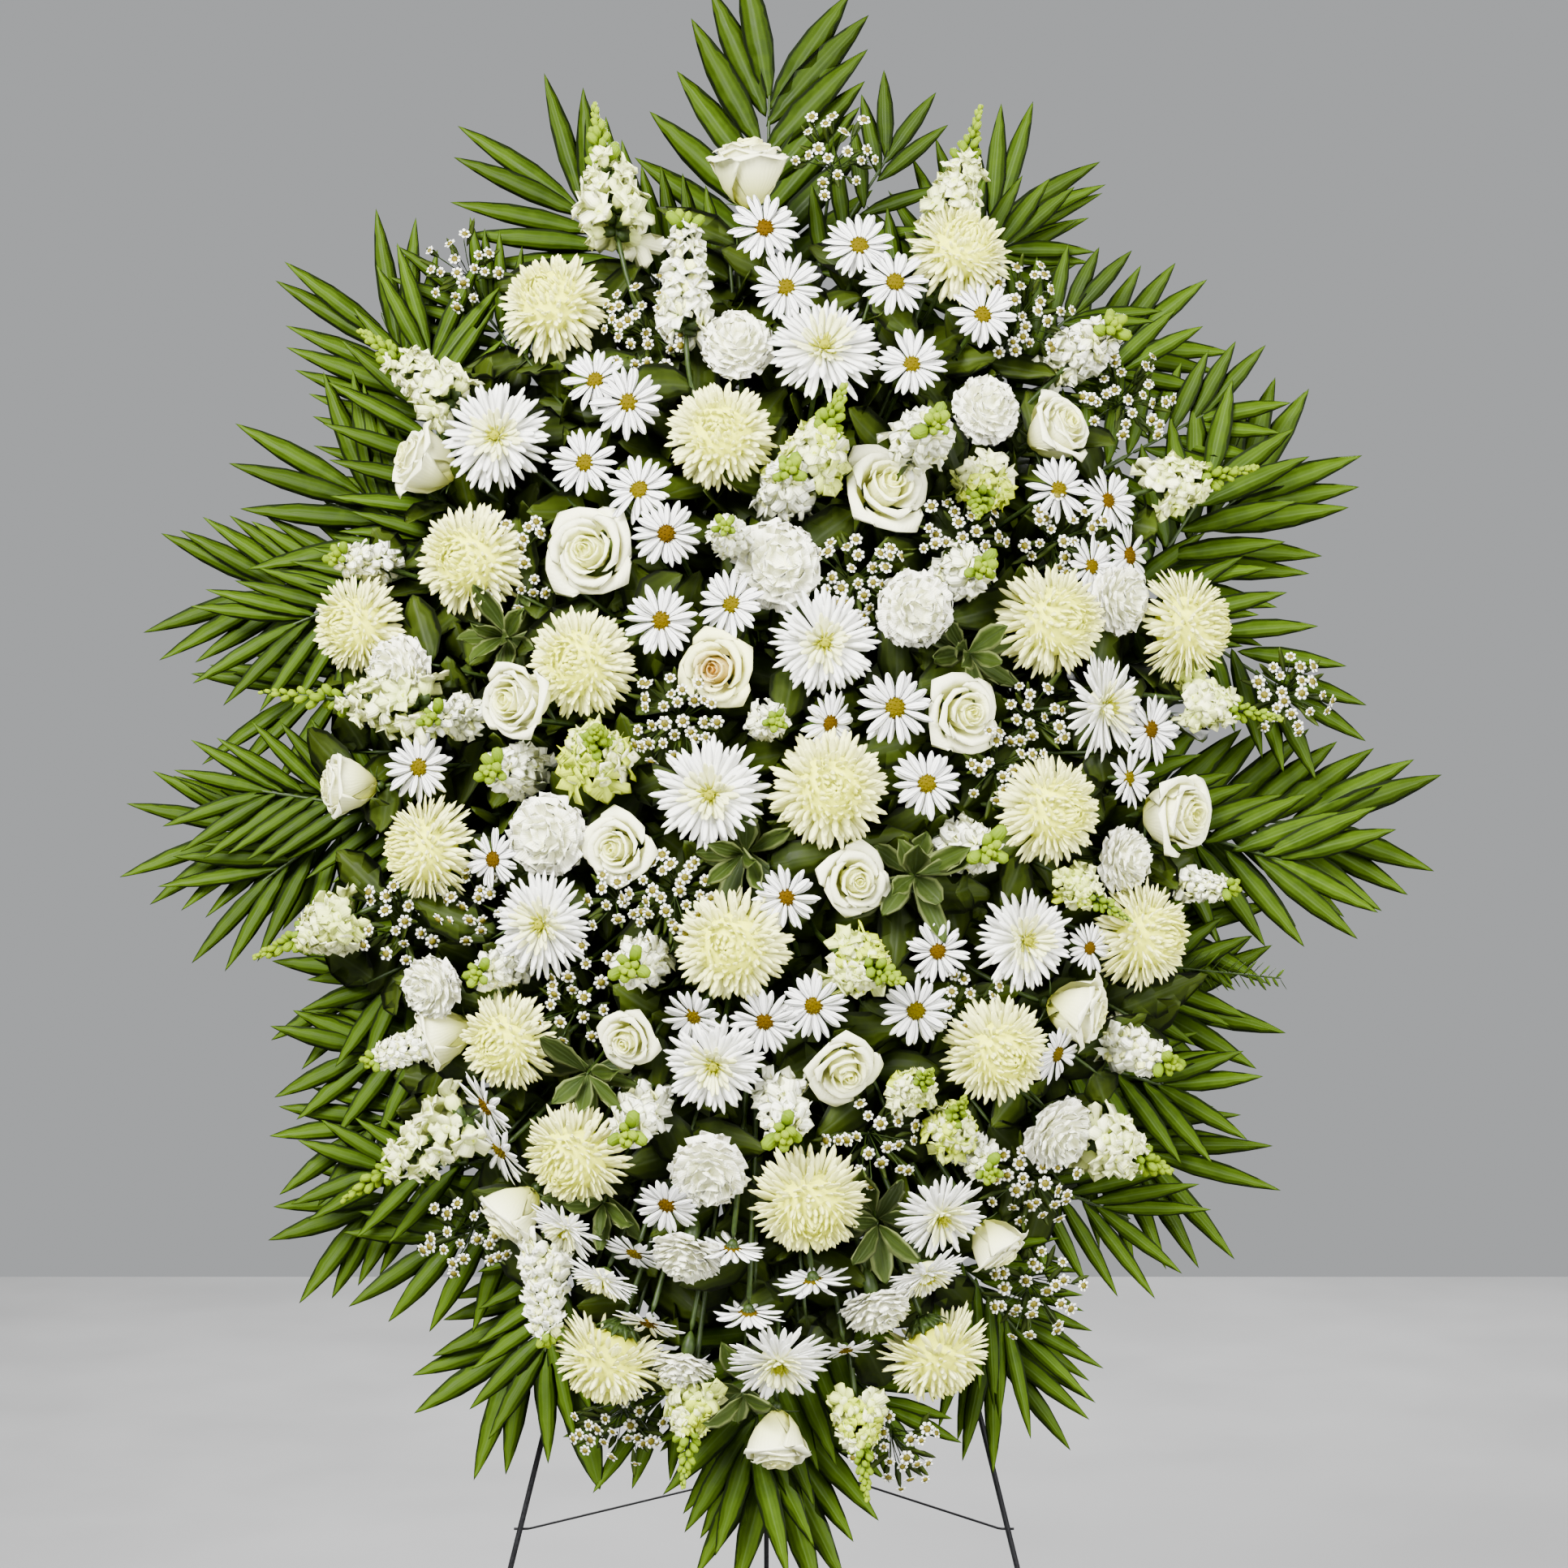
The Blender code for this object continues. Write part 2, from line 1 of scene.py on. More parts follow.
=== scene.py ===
"""Looks of the standing funeral spray: its flowers, fronds and leaves, and the finish of its easel.

Metres, +Z up, the flowers face -Y. The planting is laid out as the CAD lays it out: in centimetres
as sighted from the front, on a dome in front of the leaning front frame. Pieces are worked out in
that frame's own axes, x across, z up the frame and -y out in front of it, and then stood up.
"""

import json
import math
import random

import bmesh
import bpy
from mathutils import Matrix, Vector


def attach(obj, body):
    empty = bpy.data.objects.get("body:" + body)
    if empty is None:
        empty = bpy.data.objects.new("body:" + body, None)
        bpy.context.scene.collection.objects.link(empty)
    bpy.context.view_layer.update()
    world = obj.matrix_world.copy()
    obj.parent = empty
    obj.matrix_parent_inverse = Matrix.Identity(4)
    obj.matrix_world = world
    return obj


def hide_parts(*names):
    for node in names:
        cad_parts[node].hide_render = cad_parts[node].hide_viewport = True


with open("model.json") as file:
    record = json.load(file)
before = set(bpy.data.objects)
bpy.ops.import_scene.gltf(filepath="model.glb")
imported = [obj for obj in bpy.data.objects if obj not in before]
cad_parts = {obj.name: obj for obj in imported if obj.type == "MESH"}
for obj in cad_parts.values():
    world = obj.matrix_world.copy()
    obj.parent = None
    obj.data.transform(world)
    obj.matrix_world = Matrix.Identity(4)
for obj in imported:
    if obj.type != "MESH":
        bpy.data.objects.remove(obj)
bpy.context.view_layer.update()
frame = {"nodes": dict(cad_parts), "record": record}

BODY = "easel_front"
CM = 0.01
UP = Vector((0, 0, 1))
FRONT_WAY = Vector((0, -1, 0))

# How the spray stands, as in the CAD
LEAN = math.radians(10.0)
RIM_DEPTH = 0.10
MIDDLE_DEPTH = 0.28
SPRAY_HALF_WIDTH = 44.0
SPRAY_HALF_HEIGHT = 64.0
SPRAY_MIDDLE = 108.0
HUB_LOW, HUB_HIGH = 95.0, 125.0
AT_HUB = 0.01  # nearer to the hub than this, a bloom turns up
SIGHT_POINT = Vector((0.018, -3.0, 1.22))
SIGHTED_PLANE = 0.19

# The cage and the stems in it, as in the CAD
STEM_CORE_OUT = 0.060
CORE_ACROSS, CORE_UP = 0.08, 0.28
CAGE_HALF = Vector((0.0573, 0.0, 0.1923))
CAGE_MIDDLE_UP = 1.1323
CAGE_FRONT = 0.0801
STEM_SUNK = 0.018  # how far a stem goes into the foam
LEAST_RUN = 1e-6

# Growth
GOLDEN = math.radians(137.508)  # the turn from one petal or leaf to the next
STEM_CURVE = 0.3
LEAST_BEND = 0.02  # a petal is never flatter than this

# Radii of stems, stalks and ribs
STEM_RADIUS = 0.0024
SPIKE_RADIUS = STEM_RADIUS * 0.8
SPRAY_RADIUS = STEM_RADIUS * 0.7
ASTER_STALK_RADIUS = 0.0006
FROND_STALK_RADIUS = 0.0022
FROND_RIB_RADIUS = 0.0016
LONG_LEAF_RADIUS = 0.0018
TWIG_STALK_RADIUS = 0.0013
TWIG_RADIUS = 0.0009
SPRIG_RADIUS = 0.0016
BRANCH_RADIUS = 0.002

# Heads
HALF_OPEN_TURN = 35  # roses that turn this far from the front are seen from the side, half open
SETTLE_STEP = 0.005  # a crowded flower is moved this much further out at a time
SETTLE_LIMIT = 0.07
STOCK_ROOM = 0.7
STOCK_GREEN = 0.3
# Of each kind: the share of its radius that it keeps clear of others, and how deep its neck starts
FOOTBALL_SEAT = (0.9, 0.7)
FUJI_SEAT = (0.6, 0.2)
SMALL_FUJI_SEAT = (0.55, 0.2)
ROSE_SEAT = (0.78, 1.2)
CARNATION_SEAT = (0.75, 1.0)
DAISY_SEAT = (0.42, 0.15)
EYE_GOLD = (0.2, 0.6, 1.0, 1.0)  # how golden a daisy's eye may be; a riper one is brown

# Spikes and aster sprays
BASE_BACK = 0.005  # a spike starts this much further in than the dome
TIP_OUT = 0.025  # how much further out than the dome a spike ends
FACING_TIP_OUT = 0.055  # and where it points at the front
GREENER_IN_BUD = 0.42  # the share of a green spike that is in bud though it would be open
ASTER_BACK = 0.012
ASTER_TURN = 12
ASTER_RADII = (0.0047, 0.0070)
ASTER_LEAF_LENGTHS = (0.015, 0.03)
ASTER_LEAF_WIDTH = 0.006

# Fronds
LEAFLET_ANGLES = (52.0, 28.0)
END_LEAFLET_ANGLE = 19.0
LEAFLET_STRETCH = 1.35  # real leaflets start further down the rib than the CAD's outline shows
NARROW_LEAFLET, BROAD_LEAFLET = 0.20, 0.255  # breadth, as a share of the length
FIRST_FROND_OUT = 0.012
FROND_PITCH = 0.002
PAIRS_SHARE = 0.75
LEAST_PAIRS = 3
ROOT_BACK = 0.3
ROOT_STAGGER = 0.04
HIDDEN_PAIRS = 3  # leaflet pairs behind the flowers, before the CAD's
CORE_FURTHER = 0.02  # a frond's stalk leaves the foam this much further out than the frond lies
INNER_LAYERS = 5
COMPANION_OUT = 0.05
COMPANION_SWING = 17.0
COMPANION_LENGTH = 0.85
SHADED_ABOVE = 145.0  # fronds above this height get painted shade, darker the higher they are
SHADED_MORE = 0.016
LIT_MORE = 0.003  # and those that end below the middle get painted light, brighter the lower they end
TONE_SPREAD = 0.55

# Other leaves
TWIG_OUT = COMPANION_OUT + 0.03
TWIG_NEEDLES = 34
NEEDLE_LENGTHS = (0.030, 0.012)
NEEDLE_WIDTH = 0.0085
SPRIG_BACK = 0.01
SPRIG_TURN = 10
FILL_BRANCHES = 175
FILL_DEPTHS = (0.4, 0.68, 0.9)  # shares of the dome's depth
FILL_ACROSS, FILL_UP = 40.0, 54.0
FILL_LEAVES = (8.5, 10, 0.3)  # leaf length, leaves, and the bare share of the branch
RIM_BRANCHES = 36
RIM_DEPTH_SHARE = 0.55
RIM_SHARES = (0.84, 0.94)  # shares of the fill's reach
RIM_LEAVES = (7.5, 12, 0.55)
HELD_BACK = 0.98  # fill leaves stay this share of the flowers' depth, less the clearance
HELD_CLEAR = 0.02

# Which of a piece's finishes its parts wear; petals and blades wear the first
GREEN_PARTS = 1
EYE_PARTS = 2
BUD_PARTS = 2
LEAF_PARTS = 3

# Grain of the finishes: scales of the noise and heights of the relief
PETAL_MOTTLE = 320.0
PETAL_RELIEF = 0.0006
LEAF_PATCHES = 70.0
LEAF_RELIEF = 0.0008
LEAF_VEINS = 5
LEAF_ROUGHNESS = 0.55
LEAF_BUMP = 0.2
LEAF_GLOSS = 0.09
GRAIN_RELIEF = 0.0004

# Camera, floor and light
CAMERA_PITCH = math.radians(2.25)
CAMERA_LENS = 79.5
SENSOR = 36.0
FLOOR_BEHIND = 3.68  # the floor ends this far behind the front feet
FLOOR_REACH = 7.0
LIT_MIDDLE = Vector((0.0, 0.0, 1.0))
LIGHTS = (  # name, place, size and power
    ("key_light", (-1.8, -3.4, 3.6), 2.2, 1120.0),
    ("fill_light", (3.0, -2.8, 2.0), 2.4, 420.0),
    ("back_light", (0.6, 3.2, 3.2), 2.4, 520.0),
)
SURROUND = (0.42, 0.43, 0.44, 1.0)

# Planting, in centimetres: across from the middle line and height above the floor as seen from
# the front, then the diameter, and the degrees by which the flower turns away from the front.
FOOTBALL_MUMS = (
    (-19.4, 153.4, 9.7, 36),
    (18.0, 158.3, 9.1, 40),
    (-4.0, 141.5, 9.5, 12),
    (-27.0, 130.0, 10.0, 25),
    (-37.4, 124.0, 8.8, 38),
    (-17.0, 120.6, 9.7, 20),
    (6.0, 109.0, 10.4, 8),
    (26.5, 124.5, 10.0, 35),
    (38.8, 124.0, 10.0, 68),
    (26.5, 107.0, 9.6, 35),
    (-31.1, 103.4, 9.5, 62),
    (-3.0, 94.5, 10.0, 8),
    (-23.9, 85.6, 8.7, 28),
    (21.6, 84.7, 9.5, 25),
    (-17.5, 75.0, 9.6, 35),
    (4.2, 70.7, 10.3, 32),
    (35.0, 95.5, 9.6, 55),
    (-14.5, 56.0, 10.0, 90),
    (16.0, 56.5, 9.8, 90),
)
SPIDER_MUMS = (
    (-24.6, 141.4, 10.2, 12),
    (5.4, 149.4, 10.8, 30),
    (5.5, 122.5, 10.0, 5),
    (-5.0, 108.5, 10.8, 5),
    (-20.5, 96.5, 10.0, 20),
    (24.0, 95.0, 9.6, 22),
    (-4.7, 83.5, 9.6, 12),
    (31.3, 116.6, 10.0, 50),
    (1.3, 55.8, 9.8, 42),
    (16.3, 69.5, 9.0, 38),
)
SMALL_SPIDER_MUMS = (
    (15.0, 64.0, 8.0, 65),
    (-18.4, 68.2, 7.6, 62),
    (-15.0, 63.5, 7.0, 70),
)
APRICOT_ROSE = (-4.7, 120.0, 6.6, 14)
ROSES = (
    APRICOT_ROSE,
    (-1.5, 167.0, 8.6, 80),
    (-32.3, 139.4, 7.7, 70),
    (27.5, 142.5, 7.5, 50),
    (11.7, 137.3, 7.5, 33),
    (-16.5, 131.0, 7.8, 15),
    (-23.3, 117.2, 8.0, 35),
    (19.0, 116.0, 6.8, 28),
    (-39.6, 109.3, 7.0, 74),
    (-14.0, 103.5, 6.1, 20),
    (8.7, 100.5, 6.0, 18),
    (38.9, 106.7, 8.4, 45),
    (-13.0, 85.5, 5.2, 25),
    (7.7, 82.5, 6.5, 30),
    (-31.0, 85.8, 7.3, 84),
    (30.2, 88.2, 7.6, 72),
    (-24.0, 68.8, 7.2, 76),
    (22.0, 66.0, 6.2, 75),
    (1.2, 47.2, 7.3, 66),
)
CARNATIONS = (
    (-2.5, 150.0, 7.5, 25),
    (1.2, 129.7, 9.2, 8),
    (14.0, 125.5, 8.0, 12),
    (33.0, 126.5, 7.3, 45),
    (-34.0, 120.0, 7.2, 35),
    (-20.2, 104.7, 8.6, 15),
    (-5.2, 73.3, 8.2, 25),
    (33.5, 102.5, 6.8, 50),
    (27.5, 76.9, 7.8, 45),
    (10.5, 60.5, 7.4, 70),
    (20.5, 144.0, 7.0, 25),
    (-31.0, 90.6, 6.8, 35),
    (-7.3, 65.4, 7.6, 62),
    (-7.5, 55.0, 6.5, 75),
)
DAISIES = (
    (0.0, 160.4, 6.9, 18),
    (2.0, 155.0, 6.8, 10),
    (8.7, 158.8, 6.8, 20),
    (12.0, 155.5, 6.8, 20),
    (13.5, 148.0, 6.5, 8),
    (-15.5, 146.5, 6.5, 20),
    (-12.5, 144.5, 7.0, 10),
    (-16.5, 139.0, 6.6, 10),
    (-11.5, 136.5, 6.8, 25),
    (-9.0, 132.5, 6.6, 5),
    (-9.5, 124.5, 7.0, 5),
    (-3.0, 126.0, 6.8, 20),
    (12.0, 116.5, 7.8, 20),
    (15.0, 109.5, 7.0, 5),
    (-31.8, 111.0, 6.8, 15),
    (2.0, 99.0, 6.4, 10),
    (16.0, 94.0, 6.0, 5),
    (14.0, 88.5, 6.8, 5),
    (0.0, 87.5, 6.6, 15),
    (4.5, 89.0, 6.8, 10),
    (27.0, 136.5, 6.5, 25),
    (31.5, 135.5, 6.5, 40),
    (30.0, 129.5, 6.0, 35),
    (33.5, 130.5, 6.4, 50),
    (35.5, 114.5, 6.8, 40),
    (33.5, 110.0, 6.0, 45),
    (27.0, 84.5, 6.0, 50),
    (-9.0, 70.5, 6.6, 30),
    (-12.0, 66.0, 6.3, 60),
    (-25.0, 102.5, 6.0, 30),
    (20.0, 152.5, 6.4, 15),
    (6.0, 115.0, 6.5, 40),
    (-6.5, 88.0, 6.4, 40),
    (-3.0, 66.5, 7.0, 102),
    (4.5, 63.5, 7.4, 103),
    (-1.5, 60.5, 7.0, 102),
    (-10.7, 59.5, 6.8, 66),
    (-25.7, 79.7, 7.4, 62),
    (-24.4, 75.6, 7.4, 60),
    (7.5, 57.0, 5.5, 66),
    (30.0, 94.3, 5.0, 30),
)
STOCK_HEADS = (
    (29.8, 149.8, 8.8, 35),
    (14.7, 141.5, 9.6, 15),
    (-3.4, 132.5, 6.8, 10),
    (18.8, 129.0, 9.0, 15),
    (-28.9, 115.6, 7.0, 30),
    (-11.6, 92.9, 9.0, 10),
    (19.4, 103.6, 9.2, 15),
    (-37.0, 130.0, 6.6, 45),
    (-11.8, 78.5, 8.7, 20),
    (34.8, 84.6, 8.0, 45),
    (-34.5, 84.5, 5.5, 50),
    (1.7, 79.0, 9.4, 20),
    (-23.4, 110.8, 9.0, 20),
    (-24.8, 92.3, 7.0, 30),
    (41.0, 100.0, 5.5, 55),
    (2.0, 136.8, 9.2, 20),
    (0.6, 115.3, 6.4, 10),
    (19.7, 74.8, 7.0, 25),
)
# Spikes: base and tip (across, height), their greatest width, and how green their florets are
STOCK_SPIKES = (
    ((-7.2, 151.0), (-7.2, 161.2), 7.8, 0.2),
    ((-20.5, 66.8), (-20.3, 58.0), 7.4, 0.2),
)
SNAPDRAGONS = (
    ((-13.5, 159.9), (-15.6, 171.5), 7.0, 0.5),
    ((16.8, 160.5), (19.8, 171.5), 5.6, 0.5),
    ((-28.5, 144.5), (-37.0, 151.0), 6.0, 0.4),
    ((36.0, 136.6), (45.0, 138.5), 5.6, 0.8),
    ((-31.0, 116.5), (-46.5, 118.0), 6.5, 0.8),
    ((38.9, 117.2), (47.5, 115.5), 5.2, 0.9),
    ((-38.0, 97.3), (-47.0, 93.5), 6.0, 0.8),
    ((28.0, 100.6), (33.8, 96.8), 4.2, 1.5),
    ((-27.5, 78.5), (-39.0, 71.0), 6.5, 0.4),
    ((30.4, 76.7), (37.4, 73.6), 6.2, 0.5),
    ((-6.6, 53.2), (-7.6, 44.0), 5.4, 1.4),
    ((8.5, 52.0), (9.5, 43.0), 5.4, 1.3),
    ((4.0, 138.0), (7.2, 145.8), 7.0, 1.4),
    ((20.2, 137.6), (19.6, 134.0), 5.4, 1.8),
    ((-15.5, 111.6), (-15.5, 114.6), 6.8, 1.7),
    ((7.8, 93.3), (12.6, 91.3), 6.6, 1.8),
    ((17.0, 77.0), (18.5, 80.5), 5.0, 1.3),
    ((13.6, 80.8), (15.5, 83.0), 4.4, 1.2),
)
# Aster sprays: across, height, radius of the spray, number of flowers
ASTER_SPRAYS = (
    (-27.7, 156.8, 3.7, 17),
    (-24.0, 130.0, 5.1, 30),
    (6.4, 167.2, 4.2, 18),
    (8.8, 128.3, 4.6, 32),
    (24.0, 153.0, 4.8, 30),
    (-8.5, 115.5, 4.5, 30),
    (22.0, 110.8, 4.2, 18),
    (-9.0, 99.3, 4.4, 30),
    (-14.2, 98.6, 2.8, 9),
    (-34.0, 96.5, 4.0, 16),
    (10.0, 76.2, 4.5, 20),
    (-18.2, 88.0, 3.6, 10),
    (25.2, 62.0, 4.6, 24),
    (-27.8, 67.5, 4.3, 20),
    (-13.5, 50.0, 4.5, 27),
    (12.0, 47.5, 4.3, 23),
    (33.5, 145.0, 4.5, 27),
    (-10.5, 151.5, 4.8, 34),
    (18.5, 132.5, 4.3, 27),
    (18.5, 88.0, 4.3, 18),
    (48.5, 117.5, 3.9, 23),
    (25.0, 72.5, 4.3, 27),
    (-17.5, 92.5, 3.4, 10),
    (-27.5, 98.5, 3.6, 18),
    (27.5, 132.0, 4.3, 23),
    (25.0, 115.5, 3.4, 16),
)
# Palm fronds, as in the CAD: foot and end of the leafy rib, leaflet length, leaflet pairs
FRONDS = (
    ("palm_top", (0.2, 157.0), (0.5, 174.7), 11.0, 8),
    ("palm_top_right", (18.0, 154.0), (22.2, 163.5), 9.5, 6),
    ("palm_right_high", (26.0, 146.0), (34.7, 150.7), 8.0, 5),
    ("palm_right_upper", (36.0, 129.4), (45.6, 137.6), 10.0, 7),
    ("palm_right_middle", (36.0, 106.0), (52.4, 106.0), 10.0, 8),
    ("palm_right_low", (29.0, 90.4), (39.2, 89.0), 9.0, 5),
    ("palm_lower_right_high", (27.0, 81.4), (37.0, 74.0), 10.0, 6),
    ("palm_lower_right", (17.9, 65.0), (22.4, 55.0), 9.0, 6),
    ("palm_bottom", (0.6, 55.0), (1.0, 44.6), 10.5, 7),
    ("palm_lower_left", (-18.2, 64.0), (-24.2, 55.0), 9.0, 6),
    ("palm_lower_left_high", (-25.7, 74.6), (-38.4, 69.4), 8.0, 7),
    ("palm_left_low", (-31.0, 94.0), (-37.7, 90.7), 8.3, 4),
    ("palm_left_middle", (-34.7, 107.0), (-50.0, 104.8), 9.0, 8),
    ("palm_left_upper", (-33.0, 128.5), (-47.8, 127.0), 9.5, 7),
    ("palm_left_high", (-29.8, 140.0), (-34.8, 152.0), 10.3, 6),
    ("palm_top_left", (-10.7, 156.5), (-18.9, 164.0), 10.5, 6),
)
# Shorter fronds nearer to the flowers, which have no CAD piece
INNER_FRONDS = (
    ("palm_inner_top", (5.0, 157.0), (12.0, 168.0), 6.5, 5),
    ("palm_inner_right_crown", (16.5, 156.0), (23.5, 159.5), 7.0, 5),
    ("palm_inner_left", (-30.0, 131.0), (-39.0, 137.6), 11.0, 5),
    ("palm_inner_right", (36.0, 125.6), (48.5, 117.6), 7.5, 7),
    ("palm_inner_left_low", (-30.0, 86.5), (-38.5, 84.0), 7.5, 5),
    ("palm_inner_left_lower", (-29.0, 80.5), (-38.5, 77.0), 7.5, 5),
    ("palm_inner_left_upper", (-31.0, 123.0), (-44.0, 117.0), 8.5, 6),
    ("palm_inner_left_middle", (-33.0, 110.0), (-47.0, 100.0), 8.5, 6),
    ("palm_inner_left_top", (-22.0, 148.0), (-27.0, 154.5), 7.5, 5),
    ("palm_inner_right_top", (24.0, 149.0), (29.5, 153.5), 6.5, 5),
    ("palm_inner_right_low", (30.0, 98.0), (39.5, 95.5), 7.5, 6),
    ("palm_inner_right_lower", (29.0, 84.0), (38.5, 81.0), 7.5, 5),
    ("palm_inner_right_upper", (34.0, 140.0), (41.5, 144.0), 7.0, 5),
    ("palm_inner_right_bottom", (22.0, 74.0), (33.0, 69.5), 8.0, 5),
    ("palm_inner_left_bottom", (-22.0, 70.5), (-31.0, 66.5), 8.0, 5),
    ("palm_inner_bottom_left", (-6.0, 56.0), (-12.0, 50.0), 6.5, 4),
    ("palm_inner_bottom_right", (7.0, 56.0), (12.0, 50.5), 6.0, 4),
)
# Fronds without a companion, and those whose leaflets are narrow and close
LONE_FRONDS = ("palm_top", "palm_top_right", "palm_top_left", "palm_lower_right_high")
NARROW_FRONDS = (
    "palm_top_right", "palm_top_left", "palm_left_high", "palm_left_upper", "palm_left_middle",
    "palm_inner_left", "palm_inner_left_upper", "palm_inner_left_middle", "palm_inner_left_top",
    "palm_lower_right", "palm_lower_right_high", "palm_inner_right_bottom",
)
LONG_LEAF = ((-18.8, 57.5), (-15.3, 43.8), 3.2)  # base and tip, then its width
FEATHER_TWIG = ((35.0, 92.8), (47.8, 91.5))
# Rosettes of variegated leaves: across, height, leaf length, leaves
LEAF_SPRIGS = (
    (-24.0, 123.0, 6.0, 13),
    (-2.0, 103.0, 6.6, 13),
    (14.0, 101.0, 7.8, 15),
    (19.0, 121.5, 6.6, 12),
    (-16.5, 82.5, 6.6, 11),
    (10.5, 68.5, 7.8, 12),
    (-15.0, 70.5, 6.0, 8),
    (-2.0, 52.5, 6.0, 8),
)

TO_FRAME = Matrix.Rotation(LEAN, 3, "X")


def mount_place(name):
    mounts = frame["record"]["mounts"]
    return next(Vector(mount["pos_m"]) for mount in mounts if mount["name"] == name)


FRONT_FEET = (mount_place("front_left_foot") + mount_place("front_right_foot")) / 2
LEANING = Matrix.Translation(FRONT_FEET) @ Matrix.Rotation(-LEAN, 4, "X")


# Finishes


def node(tree, kind, sockets=None, **settings):
    """A shader node, its sockets linked where a socket is given and set where a value is."""
    made = tree.nodes.new("ShaderNode" + kind)
    for name, value in settings.items():
        setattr(made, name, value)
    for socket, value in (sockets or {}).items():
        if isinstance(value, bpy.types.NodeSocket):
            tree.links.new(value, made.inputs[socket])
        else:
            made.inputs[socket].default_value = value
    return made


def mixed(tree, factor, first, second, blend="MIX"):
    """The colour between two colours or sockets."""
    ends = [part if isinstance(part, bpy.types.NodeSocket) else (*part, 1.0) for part in (first, second)]
    sockets = {0: factor, 6: ends[0], 7: ends[1]}
    return node(tree, "Mix", sockets, data_type="RGBA", blend_type=blend, clamp_factor=True).outputs[2]


def ranged(tree, value, low, high, to_low=0.0, to_high=1.0):
    """The value, stretched and clamped from one range to another."""
    sockets = {0: value, 1: low, 2: high, 3: to_low, 4: to_high}
    return node(tree, "MapRange", sockets).outputs[0]


def sums(tree, operation, first, second=0.0, third=0.0):
    """The result of a sum or of another operation on values or sockets."""
    return node(tree, "Math", {0: first, 1: second, 2: third}, operation=operation).outputs[0]


def new_finish(name, roughness, specular):
    made = bpy.data.materials.new(name)
    made.use_nodes = True
    shader = made.node_tree.nodes["Principled BSDF"]
    shader.inputs["Roughness"].default_value = roughness
    shader.inputs["Specular IOR Level"].default_value = specular
    return made, made.node_tree, shader


def growth_sockets(tree):
    """Where a point is on its petal or leaf: across, along, how near the heart, and a random share, which
    on palm fronds also carries painted light and shade.
    """
    attribute = node(tree, "Attribute", attribute_name="growth")
    split = node(tree, "SeparateColor", {0: attribute.outputs["Color"]})
    return *split.outputs, attribute.outputs["Alpha"]


def object_noise(tree, scale, detail=3.0):
    place = node(tree, "TexCoord").outputs["Object"]
    return node(tree, "TexNoise", {"Vector": place, "Scale": scale, "Detail": detail}).outputs[0]


def veins_wave(tree, across, veins):
    """A wave that runs across a petal or leaf, with one crest for each vein."""
    return sums(tree, "SINE", sums(tree, "MULTIPLY", across, veins * 2 * math.pi))


def shaded(tree, colour, shade):
    """The colour, darkened or lightened by the shade."""
    grey = node(tree, "CombineColor", {0: shade, 1: shade, 2: shade}).outputs[0]
    return mixed(tree, 1.0, colour, grey, "MULTIPLY")


def dress(tree, shader, colour, height, relief, distance, rough):
    """Gives the shader its colour, the relief of the height and its roughness."""
    bump = node(tree, "Bump", {"Strength": relief, "Distance": distance, "Height": height})
    for socket, value in (("Base Color", colour), ("Normal", bump.outputs[0]), ("Roughness", rough)):
        tree.links.new(value, shader.inputs[socket])


def petal_finish(
    name, rim, heart, foot, foot_reach=0.45, veins=5, relief=0.25, roughness=0.55, spread=0.1, specular=0.2
):
    """Petals that go from the rim's colour to the heart's, tinted at their feet, with fine long veins."""
    made, tree, shader = new_finish(name, roughness, specular)
    across, along, near_heart, chance_and_painted_light = growth_sockets(tree)
    colour = mixed(tree, near_heart, rim, heart)
    colour = mixed(tree, ranged(tree, along, foot_reach, 0.0), colour, foot)
    wave = veins_wave(tree, across, veins)
    mottle = object_noise(tree, PETAL_MOTTLE)
    shade = sums(tree, "MULTIPLY_ADD", wave, 0.012, ranged(tree, chance_and_painted_light, 0.0, 1.0, 1.0 - spread, 1.0))
    shade = sums(tree, "MULTIPLY_ADD", mottle, 0.06, shade)
    height = sums(tree, "MULTIPLY_ADD", mottle, 0.5, wave)
    rough = ranged(tree, mottle, 0.3, 0.7, roughness - 0.06, roughness + 0.08)
    dress(tree, shader, shaded(tree, colour, shade), height, relief, PETAL_RELIEF, rough)
    return made


